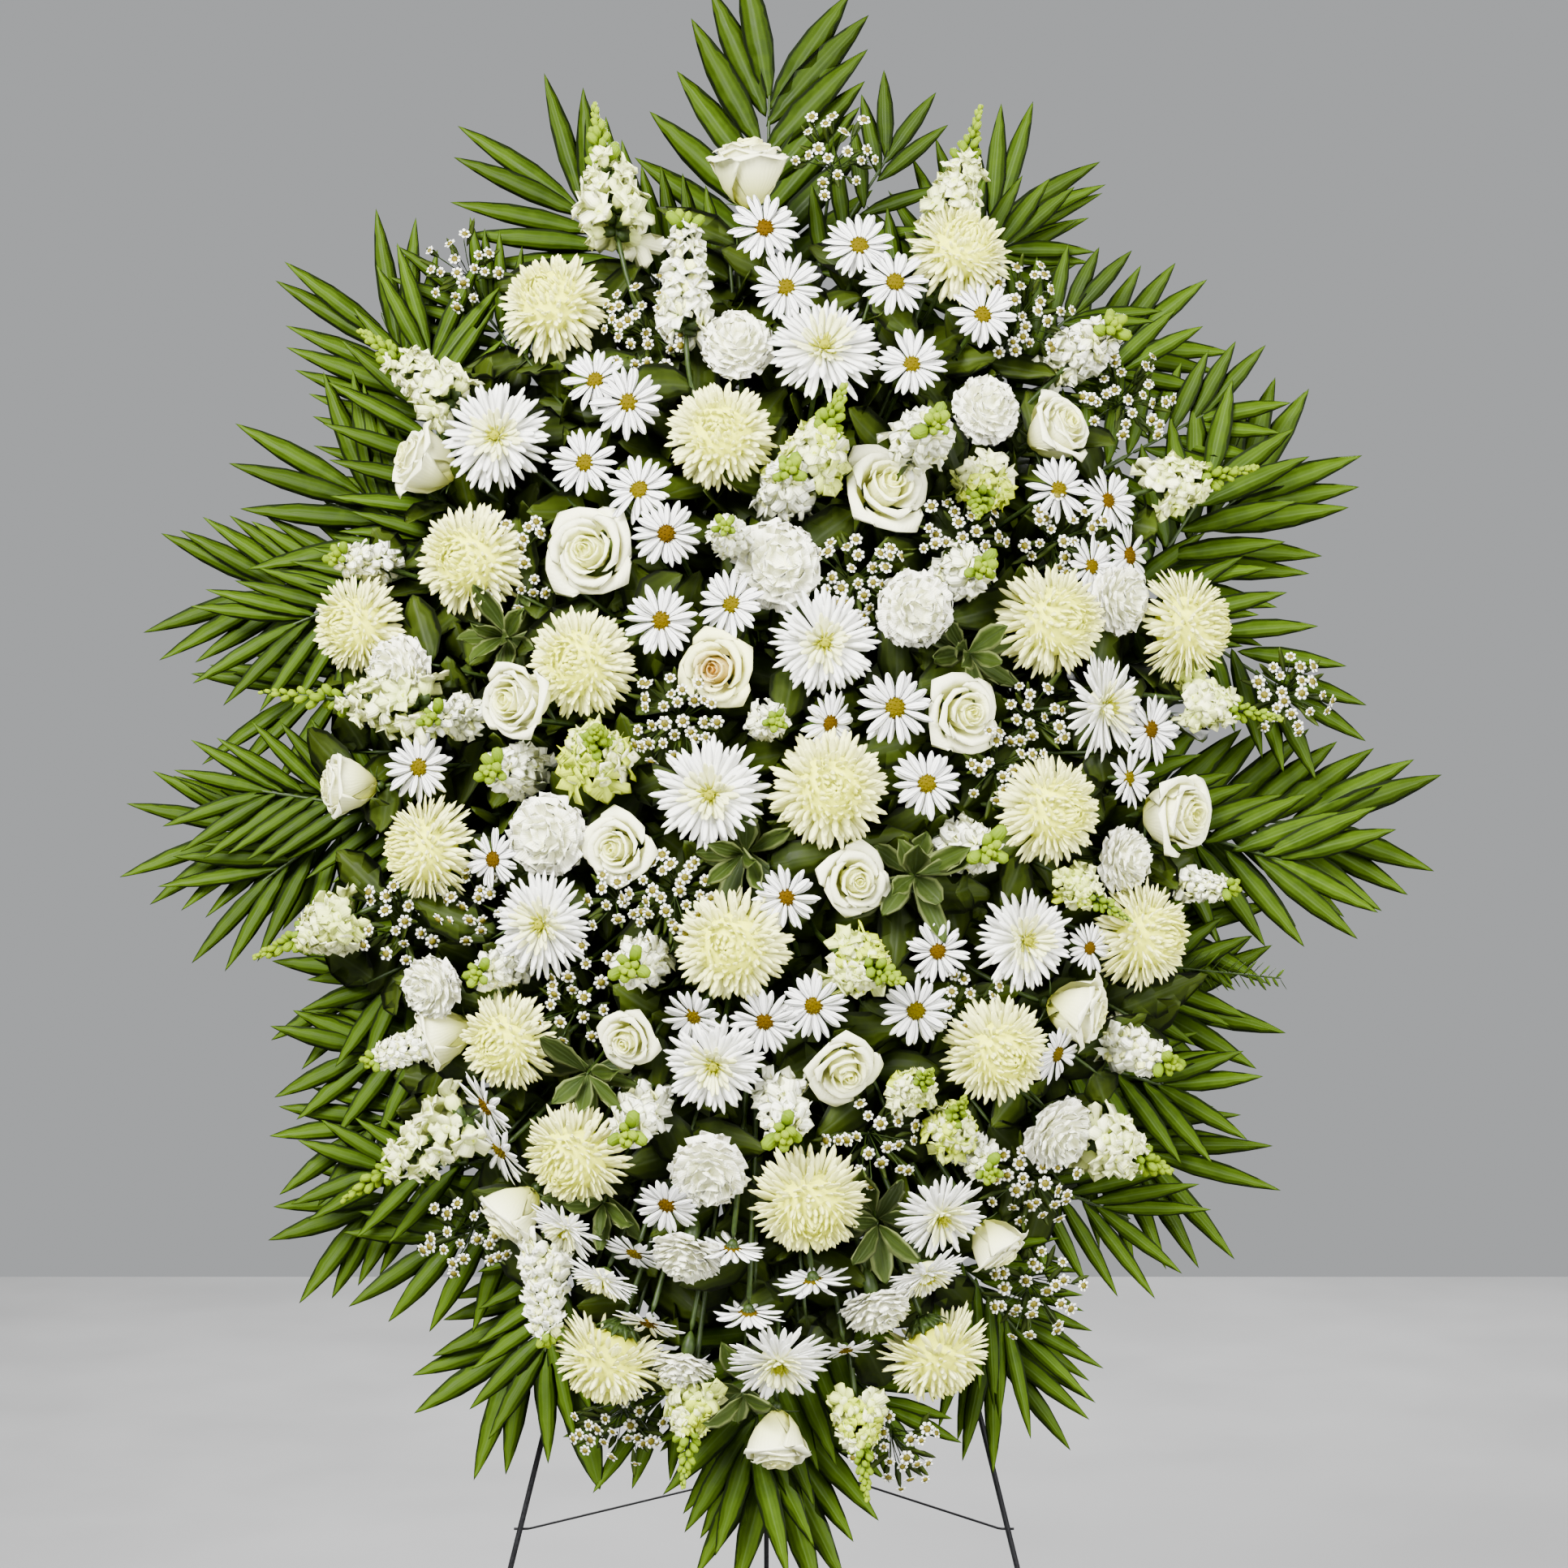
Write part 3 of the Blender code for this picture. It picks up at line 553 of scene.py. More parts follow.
def leaf_finish(name, blade, tip, edge, edge_width, spread=0.3, softness=0.08):
    """A green blade with a paler midrib and veins, and a margin of another colour if it has one: a pale
    margin is the leaf's own, and a dark one is partly the leaf's own edge and partly painted shade along
    its outline.
    """
    made, tree, shader = new_finish(name, LEAF_ROUGHNESS, LEAF_GLOSS)
    across, along, _, chance_and_painted_light = growth_sockets(tree)
    off_middle = sums(tree, "ABSOLUTE", sums(tree, "MULTIPLY_ADD", across, 2.0, -1.0))
    colour = mixed(tree, ranged(tree, along, 0.3, 1.0), blade, tip)
    patches = object_noise(tree, LEAF_PATCHES, 4.0)
    colour = mixed(tree, ranged(tree, patches, 0.42, 0.62, 0.0, 0.55), colour, tip)
    # A dark margin is partly the leaf's own edge and partly painted shade along its outline
    ragged = sums(tree, "MULTIPLY_ADD", patches, 0.5, off_middle)
    margin = ranged(tree, ragged, 1.2 - edge_width - softness, 1.2 - edge_width)
    colour = mixed(tree, margin, colour, edge)
    midrib = ranged(tree, off_middle, 0.10, 0.02)
    pale = [min(1.0, 1.9 * part + 0.02) for part in blade]
    colour = mixed(tree, sums(tree, "MULTIPLY", midrib, 0.3), colour, pale)
    wave = veins_wave(tree, across, LEAF_VEINS)
    # On palm fronds this share also holds painted shade for high fronds and painted light for low ones
    tone_and_painted_light = ranged(tree, chance_and_painted_light, 0.0, 1.0, 1.0 - spread, 1.0 + spread)
    shade = sums(tree, "MULTIPLY_ADD", wave, 0.05, tone_and_painted_light)
    height = sums(tree, "MULTIPLY_ADD", patches, 0.6, sums(tree, "SUBTRACT", wave, midrib))
    rough = ranged(tree, patches, 0.3, 0.7, LEAF_ROUGHNESS - 0.08, LEAF_ROUGHNESS + 0.12)
    dress(tree, shader, shaded(tree, colour, shade), height, LEAF_BUMP, LEAF_RELIEF, rough)
    return made


def grained_finish(name, low, high, scale, roughness, relief, specular=0.25):
    """A skin whose colour and height follow fine grain: eyes, stems, wire, moulded plastic and foam."""
    made, tree, shader = new_finish(name, roughness, specular)
    grain = object_noise(tree, scale, 5.0)
    colour = mixed(tree, ranged(tree, grain, 0.35, 0.65), low, high)
    rough = ranged(tree, grain, 0.3, 0.7, roughness - 0.08, roughness + 0.1)
    dress(tree, shader, colour, grain, relief, GRAIN_RELIEF, rough)
    return made


WHITE = (0.92, 0.92, 0.86)
football_petals = petal_finish(
    "cream_football_petals", (0.93, 0.93, 0.38), (0.84, 0.86, 0.03), (0.46, 0.48, 0.01), foot_reach=0.6
)
fuji_petals = petal_finish(
    "white_fuji_petals", WHITE, (0.86, 0.88, 0.12), (0.62, 0.68, 0.06), foot_reach=0.3
)
fuji_heart = petal_finish(
    "yellow_fuji_heart", (0.64, 0.66, 0.03), (0.26, 0.26, 0.002), (0.16, 0.18, 0.002), specular=0.05
)
rose_petals = petal_finish(
    "white_rose_petals", (0.92, 0.92, 0.60), (0.86, 0.87, 0.22), (0.48, 0.50, 0.03),
    foot_reach=0.76, veins=14, relief=0.12, roughness=0.5,
)
apricot_petals = petal_finish(
    "apricot_rose_petals", (0.91, 0.91, 0.42), (0.50, 0.25, 0.004), (0.46, 0.36, 0.02),
    foot_reach=0.6, veins=14, relief=0.12, roughness=0.48,
)
carnation_petals = petal_finish(
    "white_carnation_petals", (0.94, 0.93, 0.80), (0.90, 0.91, 0.66), (0.66, 0.70, 0.34),
    foot_reach=0.5, veins=12, relief=0.3,
)
daisy_rays = petal_finish(
    "white_daisy_rays", (0.93, 0.93, 0.90), WHITE, (0.72, 0.76, 0.40), foot_reach=0.25, veins=3, relief=0.5
)
daisy_eye = petal_finish(
    "golden_daisy_eye", (0.058, 0.026, 0.0001), (0.096, 0.078, 0.0001), (0.022, 0.012, 0.0001),
    specular=0.02,
)
snapdragon_petals = petal_finish(
    "white_snapdragon_petals", (0.92, 0.93, 0.55), (0.50, 0.60, 0.01), (0.24, 0.32, 0.005),
    foot_reach=0.55, veins=6, relief=0.2,
)
stock_petals = petal_finish(
    "white_stock_petals", (0.93, 0.94, 0.78), (0.80, 0.84, 0.16), (0.46, 0.52, 0.05), veins=4, relief=0.3
)
aster_rays = petal_finish(
    "white_aster_rays", (0.91, 0.91, 0.80), WHITE, (0.60, 0.62, 0.25), foot_reach=0.3, veins=2, relief=0.3
)
aster_eye = grained_finish("olive_aster_eye", (0.040, 0.033, 0.0005), (0.17, 0.14, 0.0025), 900.0, 0.6, 0.6)
bud_green = petal_finish(
    "green_buds", (0.11, 0.18, 0.002), (0.20, 0.28, 0.003), (0.04, 0.08, 0.001),
    foot_reach=0.6, relief=0.3, specular=0.06,
)
stem_green = grained_finish("stem_green", (0.009, 0.019, 0.001), (0.020, 0.038, 0.002), 260.0, 0.5, 0.3)
# The dark margin is partly the palm's own edge and partly painted shade where leaflets outline one another
palm_leaf = leaf_finish(
    "palm_leaf", (0.0165, 0.034, 0.0003), (0.032, 0.061, 0.0006), (0.006, 0.012, 0.0002), 0.12, spread=0.42
)
fill_leaf = leaf_finish(
    "dark_fill_leaf", (0.010, 0.017, 0.0008), (0.026, 0.040, 0.002), (0.005, 0.008, 0.0003), 0.1
)
sprig_leaf = leaf_finish(
    "variegated_leaf", (0.015, 0.026, 0.003), (0.026, 0.041, 0.005), (0.080, 0.098, 0.030), 0.08,
    softness=0.25,
)
black_wire = grained_finish(
    "painted_black_wire", (0.003, 0.003, 0.0035), (0.008, 0.008, 0.009), 420.0, 0.5, 0.3, specular=0.08
)
cage_plastic = grained_finish(
    "green_cage_plastic", (0.01, 0.04, 0.012), (0.016, 0.055, 0.018), 600.0, 0.45, 0.25
)
wet_foam = grained_finish("wet_floral_foam", (0.012, 0.05, 0.018), (0.03, 0.10, 0.04), 900.0, 0.9, 0.9)
pale_floor = grained_finish("pale_floor", (0.18, 0.18, 0.18), (0.20, 0.20, 0.20), 2.5, 0.6, 0.0)


# Growing shapes


def new_plant():
    """An empty shape whose points can carry their place on a petal."""
    bm = bmesh.new()
    bm.verts.layers.float_color.new("growth")
    return bm


moulds = {}


def mould(sides, rings):
    """A round skin that is reshaped for each petal, and the place of each of its points on it."""
    if (sides, rings) not in moulds:
        bm = new_plant()
        points = bmesh.ops.create_uvsphere(bm, u_segments=sides, v_segments=rings, radius=1.0)["verts"]
        places = []
        for x, y, z in (point.co for point in points):
            ring = math.hypot(x, y)
            along = min(1.0, max(0.0, (1 + z) / 2))
            at_end = ring < 0.001
            places.append((0.0, along, 0.0) if at_end else (x / ring, along, y / ring))
        skin = bpy.data.meshes.new(f"mould_{sides}_{rings}")
        bm.to_mesh(skin)
        bm.free()
        moulds[sides, rings] = skin, places
    return moulds[sides, rings]


def swelling(bm, sides, rings, shape, finish=0, heart=0.0, chance_and_painted_light=0.0):
    """A closed skin whose points go where shape(across, along, side) says.

    Along runs from 0 to 1; across and side run from -1 to 1 round the skin, and are 0 at its ends.
    """
    skin, places = mould(sides, rings)
    points = []
    growth = []
    for across, along, side in places:
        points.extend(shape(across, along, side))
        growth.extend((across / 2 + 0.5, along, heart, chance_and_painted_light))
    skin.vertices.foreach_set("co", points)
    skin.attributes["growth"].data.foreach_set("color", growth)
    skin.polygons.foreach_set("material_index", [finish] * len(skin.polygons))
    bm.from_mesh(skin, face_normals=False, vertex_normals=False)


def petal(
    bm, foot, tip, inward, bend, width, fullest=0.6, blunt=0.8, cup=0.2, thick=0.02, sides=4, rings=5,
    finish=0, heart=0.0, chance_and_painted_light=0.0, ruffle=0.0, waves=0.0, teeth=0.0, twist=0.0,
):
    """A blade on a round arc from foot to tip, hollow and curled towards inward.

    It is widest at the share fullest of its length, and the blunter, the lower the power that
    rounds its outline. Ruffle and teeth are how far its face and its tip go in and out in waves.
    """
    chord = tip - foot
    reach = chord.length
    chord = chord / reach
    inner = (inward - inward.dot(chord) * chord).normalized()
    wide = chord.cross(inner)
    if abs(bend) < LEAST_BEND:
        bend = LEAST_BEND
    length = reach * (bend / 2) / math.sin(bend / 2)
    start = -bend / 2
    power = math.log(0.5) / math.log(fullest)
    phase = chance_and_painted_light * 6.0

    def shape(across, along, side):
        angle = start + bend * along
        run = (math.sin(angle) - math.sin(start)) / bend
        rise = (math.cos(start) - math.cos(angle)) / bend
        half = width / 2 * max(0.0, math.sin(math.pi * along**power)) ** blunt
        if teeth and 0.85 < along < 0.999:
            run += teeth * math.cos(waves * 2.0 * across + phase)
        if teeth and along > 0.999:
            run -= 0.12
        normal = math.cos(angle) * inner - math.sin(angle) * chord
        lift = side * thick / 2 + cup * half * across * across
        lift += ruffle * math.sin(waves * across + phase) * along * along
        sway = across * half
        turn = twist * along
        return (
            foot + length * (run * chord + rise * inner)
            + (sway * math.cos(turn) - lift * math.sin(turn)) * wide
            + (sway * math.sin(turn) + lift * math.cos(turn)) * normal
        )

    swelling(bm, sides, rings, shape, finish, heart, chance_and_painted_light)


def knob(bm, centre, way, radius, length, sides=8, rings=6, finish=0, heart=0.0, chance_and_painted_light=0.0, fullest=0.5):
    """A rounded lump along way: a bud, an eye or the green cup behind a flower."""
    across_way = way.orthogonal().normalized()
    side_way = way.cross(across_way).normalized()
    power = math.log(0.5) / math.log(fullest)

    def shape(across, along, side):
        share = along**power
        ring = radius * math.sqrt(max(0.0, 4 * share * (1 - share)))
        return centre + way * (along - 0.5) * length + ring * (across * across_way + side * side_way)

    swelling(bm, sides, rings, shape, finish, heart, chance_and_painted_light)


def stem(bm, foot, leaving, neck, arriving, radius, sides=6, rings=9):
    """A bent round green stalk from foot to neck."""
    pull = (neck - foot).length * STEM_CURVE
    near = foot + pull * leaving
    far = neck - pull * arriving
    reference = (neck - foot).orthogonal().normalized()

    def shape(across, along, side):
        rest = 1 - along
        early, late = 3 * rest * rest * along, 3 * rest * along * along
        middle = rest**3 * foot + early * near + late * far + along**3 * neck
        way = rest * rest * (near - foot) + 2 * rest * along * (far - near) + along * along * (neck - far)
        first = way.cross(reference).normalized()
        second = way.cross(first).normalized()
        return middle + radius * (across * first + side * second)

    swelling(bm, sides, rings, shape, GREEN_PARTS, 0.0, 0.5)


def on_globe(polar, azimuth, radius=1.0):
    """The point of a globe at this angle from its front, +Z, and this angle round it."""
    ring = radius * math.sin(polar)
    return Vector((ring * math.cos(azimuth), ring * math.sin(azimuth), radius * math.cos(polar)))


def towards_axis(polar, azimuth):
    """The way along a globe from a point on it to its front."""
    return Vector(
        (-math.cos(polar) * math.cos(azimuth), -math.cos(polar) * math.sin(azimuth), math.sin(polar))
    )


def between(low, high, share):
    return low + (high - low) * share


def cross_ways(way):
    """Two ways that are square to this one and to each other."""
    first = way.orthogonal().normalized()
    return first, way.cross(first)


def round_way(azimuth, first, second):
    """The way at this angle round the axis that the two ways are square to."""
    return math.cos(azimuth) * first + math.sin(azimuth) * second


def random_way(draw, most):
    return Vector([draw.uniform(-most, most) for _ in range(3)])


def spiral(count):
    """The share and the azimuth of each of these many points of an even spiral."""
    for step in range(count):
        yield (step + 0.5) / count, step * GOLDEN


def circle(count, offset=0.0):
    """The azimuths of these many points of a circle."""
    for step in range(count):
        yield offset + step * math.tau / count


def outwards(azimuth):
    """The way out from a head's axis at this azimuth."""
    return Vector((math.cos(azimuth), math.sin(azimuth), 0))


# How petals and leaves are cut, in the words of petal
CUP_SCALE = dict(fullest=0.5, blunt=0.9, thick=0.03, rings=4, finish=GREEN_PARTS)
SEPAL = dict(fullest=0.35, cup=0.3, rings=6, finish=GREEN_PARTS)
FOOTBALL_PETAL = dict(fullest=0.66, blunt=0.7, cup=0.5, thick=0.03)
FUJI_RAY = dict(fullest=0.7, blunt=0.55, cup=0.35, thick=0.03, rings=6)
FUJI_FLORET = dict(fullest=0.7, blunt=0.5, thick=0.03, rings=4, finish=EYE_PARTS)
CARNATION_PETAL = dict(
    fullest=0.82, blunt=0.42, cup=0.1, thick=0.014, sides=16, ruffle=0.055, waves=5.0, teeth=0.035
)
DAISY_RAY = dict(fullest=0.62, blunt=0.62, cup=0.25, rings=6)
SNAPDRAGON_LOBE = dict(fullest=0.7, blunt=0.5, cup=0.3, rings=4, waves=3.0)
STOCK_PETAL = dict(fullest=0.68, blunt=0.5, cup=0.15, rings=4, waves=3.0)
ASTER_RAY = dict(blunt=0.5, cup=0.15, rings=3)
ASTER_LEAF = dict(fullest=0.5, thick=0.0006, rings=4, finish=LEAF_PARTS)
LEAFLET = dict(fullest=0.44, blunt=0.9, cup=-0.15, thick=0.0007, rings=7)
LONG_BLADE = dict(fullest=0.5, cup=-0.15, thick=0.0008, sides=8, rings=12)
NEEDLE = dict(fullest=0.5, blunt=0.7, cup=0.1, thick=0.0006, rings=4)
SPRIG_BLADE = dict(cup=0.3, thick=0.0008, sides=8, rings=6, ruffle=0.003, waves=4.0)
FILL_BLADE = dict(fullest=0.45, blunt=0.75, cup=0.25, thick=0.0008)


# Heads: each is built round the origin with a radius of about 1, facing +Z


def involucre(bm, draw, radius, depth):
    """The green cup of small scales behind a daisy-like head."""
    scales = 10
    knob(bm, UP * depth, UP, radius, 0.3, 10, 6, GREEN_PARTS)
    for azimuth in circle(scales):
        foot = on_globe(math.radians(150), azimuth, radius * 0.6) + UP * depth
        tip = outwards(azimuth) * radius * 1.35 + UP * (depth + 0.12)
        petal(bm, foot, tip, UP, 0.6, 0.16, **CUP_SCALE, chance_and_painted_light=draw.random())


def football_mum(bm, draw):
    """A dense globe of incurved petals with a spiky rim."""
    petals = 280
    widest = math.radians(126)
    squash = Vector((1, 1, 0.92))
    knob(bm, UP * 0.02, UP, 0.66, 1.24, 12, 8, heart=0.9, chance_and_painted_light=0.2)
    for share, azimuth in spiral(petals):
        polar = math.acos(1 - share * (1 - math.cos(widest)))
        azimuth += draw.uniform(-0.12, 0.12)
        outer = min(1.0, polar / math.radians(100))
        lead = math.radians(between(26, -7, outer)) + draw.uniform(-0.1, 0.1)
        radius = between(0.84, 1.10, outer**1.3) * (1 + draw.uniform(-0.12, 0.10) * outer)
        foot = on_globe(polar * 0.92, azimuth, 0.5) * squash
        tip = on_globe(max(0.02, polar - lead), azimuth + draw.uniform(-0.08, 0.08), radius) * squash
        bend = math.radians(between(95, 15, outer) + draw.uniform(-18, 18))
        petal(
            bm, foot, tip, towards_axis(polar, azimuth), bend, between(0.13, 0.115, outer),
            **FOOTBALL_PETAL, heart=max(0.0, 1.0 - outer * 1.5), chance_and_painted_light=draw.random(),
        )
    involucre(bm, draw, 0.34, -0.62)


# Rays in each row, the lowest and highest angle of their rise, and their least and greatest reach
FUJI_ROWS = ((44, -12, 6, 0.88, 1.08), (38, 6, 24, 0.76, 0.98), (30, 24, 50, 0.44, 0.72))


def fuji_mum(bm, draw):
    """Rows of long blunt rays round a small green-yellow heart."""
    florets = 26
    knob(bm, UP * -0.1, UP, 0.34, 0.36, 10, 6, heart=0.6, chance_and_painted_light=0.2)
    for count, low, high, near, far in FUJI_ROWS:
        for azimuth in circle(count, draw.uniform(0, 3)):
            azimuth += draw.uniform(-0.06, 0.06)
            height = math.radians(draw.uniform(low, high))
            reach = draw.uniform(near, far)
            foot = on_globe(math.pi / 2 - height, azimuth, 0.08)
            tip = on_globe(math.pi / 2 - height, azimuth + draw.uniform(-0.05, 0.05), reach)
            bend = math.radians(draw.uniform(-16, 22) + max(0, low))
            inward = towards_axis(math.pi / 2 - height, azimuth)
            width = 0.122 * draw.uniform(0.8, 1.1)
            heart = 0.55 if low > 20 else 0.0
            petal(bm, foot, tip, inward, bend, width, **FUJI_RAY, heart=heart, chance_and_painted_light=draw.random())
    knob(bm, UP * 0.16, UP, 0.10, 0.16, 8, 5, EYE_PARTS, 1.0, 0.5)
    for share, azimuth in spiral(florets):
        foot = on_globe(1.2 * math.sqrt(share), azimuth, 0.06)
        tip = on_globe(1.1 * math.sqrt(share), azimuth, between(0.26, 0.32, share)) + UP * 0.02
        inward = towards_axis(0.8, azimuth)
        petal(bm, foot, tip, inward, 0.5, 0.06, **FUJI_FLORET, heart=1 - share, chance_and_painted_light=draw.random())
    involucre(bm, draw, 0.22, -0.2)


# Radius, height of the lip, half span in degrees, flare of the lip, and petals of each layer
ROSE_LAYERS = (
    (0.10, 0.26, 150, 0.75, 1),
    (0.18, 0.30, 100, 0.85, 2),
    (0.30, 0.28, 82, 0.98, 3),
    (0.46, 0.18, 76, 1.16, 3),
    (0.64, 0.02, 70, 1.34, 3),
    (0.80, -0.20, 60, 1.40, 4),
)
GOBLET_LAYERS = (
    (0.12, 0.34, 150, 0.70, 1),
    (0.21, 0.40, 80, 0.80, 3),
    (0.33, 0.40, 78, 0.88, 3),
    (0.46, 0.36, 70, 0.96, 4),
    (0.60, 0.30, 62, 1.08, 4),
    (0.72, 0.18, 58, 1.22, 4),
)
ROSE_DEPTH = 1.15


def wrapped_petal(bm, draw, middle, wrap, radius, lip, flare, outer):
    """One rose petal, wrapped round the axis, with a rolled lip."""
    drop = between(0.02, 0.16, outer)
    wobble = draw.uniform(0, 6)
    shift = Vector((draw.uniform(-0.04, 0.04), draw.uniform(-0.04, 0.04), 0))
    radii = (0.05, 1.30 * radius, 0.82 * radius, radius * flare)
    heights = (-ROSE_DEPTH, -0.75, lip + 0.12, lip - drop)

    def shape(across, along, side):
        rest = 1 - along
        weights = (rest**3, 3 * rest * rest * along, 3 * rest * along * along, along**3)
        out = sum(weight * part for weight, part in zip(weights, radii))
        up = sum(weight * part for weight, part in zip(weights, heights))
        half = max(0.0, math.sin(math.pi * along**1.9)) ** (0.34 + 0.12 * outer)
        turn = middle + wrap * across * half
        curl = outer * along**4 * across * across
        out = out * (1 + 0.11 * across) + 0.10 * curl + side * 0.011
        up += 0.02 * math.sin(3 * across + wobble) * along - 0.16 * curl
        return Vector((out * math.cos(turn), out * math.sin(turn), up)) + shift * along

    swelling(bm, 12, 8, shape, 0, max(0.0, 1 - outer * 1.25), draw.random())


def rose(bm, draw, layers=ROSE_LAYERS):
    """Broad petals wrapped round the axis, opening outwards, in a green calyx."""
    sepals = 5
    turned = draw.uniform(0, 6)
    for index, (radius, lip, span, flare, count) in enumerate(layers):
        turned += 0.6
        outer = index / (len(layers) - 1)
        for azimuth in circle(count, turned):
            middle = azimuth + draw.uniform(-0.12, 0.12)
            wrap = math.radians(span) * draw.uniform(0.92, 1.08)
            high = lip + draw.uniform(-0.03, 0.04)
            wrapped_petal(bm, draw, middle, wrap, radius, high, flare * draw.uniform(0.95, 1.07), outer)
    knob(bm, UP * -0.55, UP, 0.42, 1.2, 10, 6, heart=0.6, chance_and_painted_light=0.5)
    knob(bm, UP * (-ROSE_DEPTH - 0.04), UP, 0.16, 0.30, 8, 6, GREEN_PARTS)
    for azimuth in circle(sepals, turned):
        foot = outwards(azimuth) * 0.10 + UP * (-ROSE_DEPTH + 0.05)
        tip = outwards(azimuth) * 0.62 + UP * (-ROSE_DEPTH - draw.uniform(-0.25, 0.1))
        petal(bm, foot, tip, -UP, 0.7, 0.17, **SEPAL, chance_and_painted_light=draw.random())


def half_open_rose(bm, draw):
    rose(bm, draw, GOBLET_LAYERS)


def carnation(bm, draw):
    """A ball of fan-shaped petals with toothed and ruffled edges, in a long green cup."""
    petals = 46
    for share, azimuth in spiral(petals):
        polar = math.radians(between(4, 112, share**0.66))
        azimuth += draw.uniform(-0.15, 0.15)
        radius = between(0.84, 1.0, share) * draw.uniform(0.92, 1.06)
        foot = UP * -0.55 + on_globe(polar * 0.6, azimuth, 0.05)
        tip = on_globe(polar, azimuth, radius) * Vector((1, 1, 0.82)) - UP * 0.08
        petal(
            bm, foot, tip, towards_axis(polar, azimuth), -0.7 * share - 0.1, between(0.55, 0.80, share),
            **CARNATION_PETAL, heart=1 - share, chance_and_painted_light=draw.random(),
        )
    knob(bm, UP * -0.08, UP, 0.45, 0.64, 10, 7, heart=0.6, chance_and_painted_light=0.6)
    knob(bm, UP * -0.75, UP, 0.2, 0.8, 8, 6, GREEN_PARTS, 0, 0.3, 0.6)


def daisy(bm, draw):
    """Two rows of flat rays round a domed eye of tiny florets."""
    rays, florets = 22, 38
    offset = draw.uniform(0, 3)
    droop = draw.uniform(-4, 5)
    for step, azimuth in enumerate(circle(rays, offset)):
        azimuth += draw.uniform(-0.09, 0.09)
        upper = step % 2
        height = math.radians(droop + 5 * upper + draw.uniform(-5, 6))
        foot = on_globe(math.pi / 2 - height, azimuth, 0.12) + UP * 0.03 * upper
        tip = on_globe(math.pi / 2 - height, azimuth + draw.uniform(-0.06, 0.06), draw.uniform(0.84, 1.05))
        bend = math.radians(draw.uniform(-34, 18))
        petal(
            bm, foot, tip, UP, bend, 0.22 * draw.uniform(0.75, 1.12),
            **DAISY_RAY, chance_and_painted_light=draw.random(), twist=draw.uniform(-0.4, 0.4),
        )
    golden = draw.choice(EYE_GOLD)
    knob(bm, UP * 0.03, UP, 0.25, 0.18, 12, 6, EYE_PARTS, 0.7 * golden, 0.5)
    for share, azimuth in spiral(florets):
        way = on_globe(math.radians(90) * math.sqrt(share), azimuth)
        place = Vector((way.x * 0.25, way.y * 0.25, 0.03 + way.z * 0.09))
        knob(bm, place, way, 0.033, 0.07, 4, 3, EYE_PARTS, golden * (1.0 - share**3), draw.random())
    involucre(bm, draw, 0.15, -0.08)


LOBE_WAYS = ((0.5, 1.0), (-0.5, 1.0), (0.95, -0.6), (-0.95, -0.6), (0.0, -1.0))  # sideways and up


def snapdragon_floret(bm, draw, place, out, up, size, openness, green):
    """A two-lipped tube: two lobes stand up and three hang down round a small yellow palate."""
    side = out.cross(up).normalized()
    mouth = place + out * size * 0.6
    knob(bm, place + out * size * 0.12, out, size * 0.2, size * 0.5, 4, 4, GREEN_PARTS, 0.0, draw.random())
    knob(bm, place + out * size * 0.38, out, size * 0.22, size * 0.7, 6, 4, 0, 0.5, draw.random(), 0.6)
    tint = draw.uniform(0.0, 0.9) * green
    for lean, rise in LOBE_WAYS:
        way = (side * lean + up * rise + out * draw.uniform(-0.1, 0.5)).normalized()
        tip = mouth + way * size * 0.62 * openness * draw.uniform(0.8, 1.15)
        petal(
            bm, mouth - out * size * 0.2, tip, out, -1.1, size * 0.5, **SNAPDRAGON_LOBE,
            thick=size * 0.06, ruffle=size * 0.12, heart=tint, chance_and_painted_light=draw.random(),
        )
    knob(bm, mouth - up * size * 0.05, out, size * 0.11, size * 0.2, 4, 4, heart=1.0, chance_and_painted_light=0.5)


def stock_floret(bm, draw, place, out, up, size, _openness, green):
    """Four crumpled petals spread in a cross and one curled over the heart, on a green calyx."""
    side = out.cross(up).normalized()
    foot = place + out * size * 0.15
    knob(bm, place, out, size * 0.16, size * 0.5, 4, 4, GREEN_PARTS, 0.0, draw.random())
    turned = draw.uniform(0, 3)
    tint = draw.uniform(0.0, 1.0) * green
    for step in range(5):
        inner = step == 4
        flat = round_way(turned + step * math.tau / 4 + draw.uniform(-0.25, 0.25), side, up)
        way = (flat + out * (1.4 if inner else draw.uniform(0.1, 0.7))).normalized()
        reach = size * (0.4 if inner else 0.62) * draw.uniform(0.82, 1.15)
        petal(
            bm, foot, foot + way * reach, out, -0.9, size * 0.48, **STOCK_PETAL,
            thick=size * 0.05, ruffle=size * 0.09, heart=0.7 if inner else tint, chance_and_painted_light=draw.random(),
        )


# What grows on a spike: the kind of floret, how many of them, how many buds, the share of the spike
# that is open, and the size of a floret as a share of the spike's width
STOCK_HEAD_GROWTH = (stock_floret, 25, 10, 0.84, 0.42)
STOCK_SPIKE_GROWTH = (stock_floret, 38, 8, 0.98, 0.46)
SNAPDRAGON_GROWTH = (snapdragon_floret, 22, 26, 0.66, 0.54)


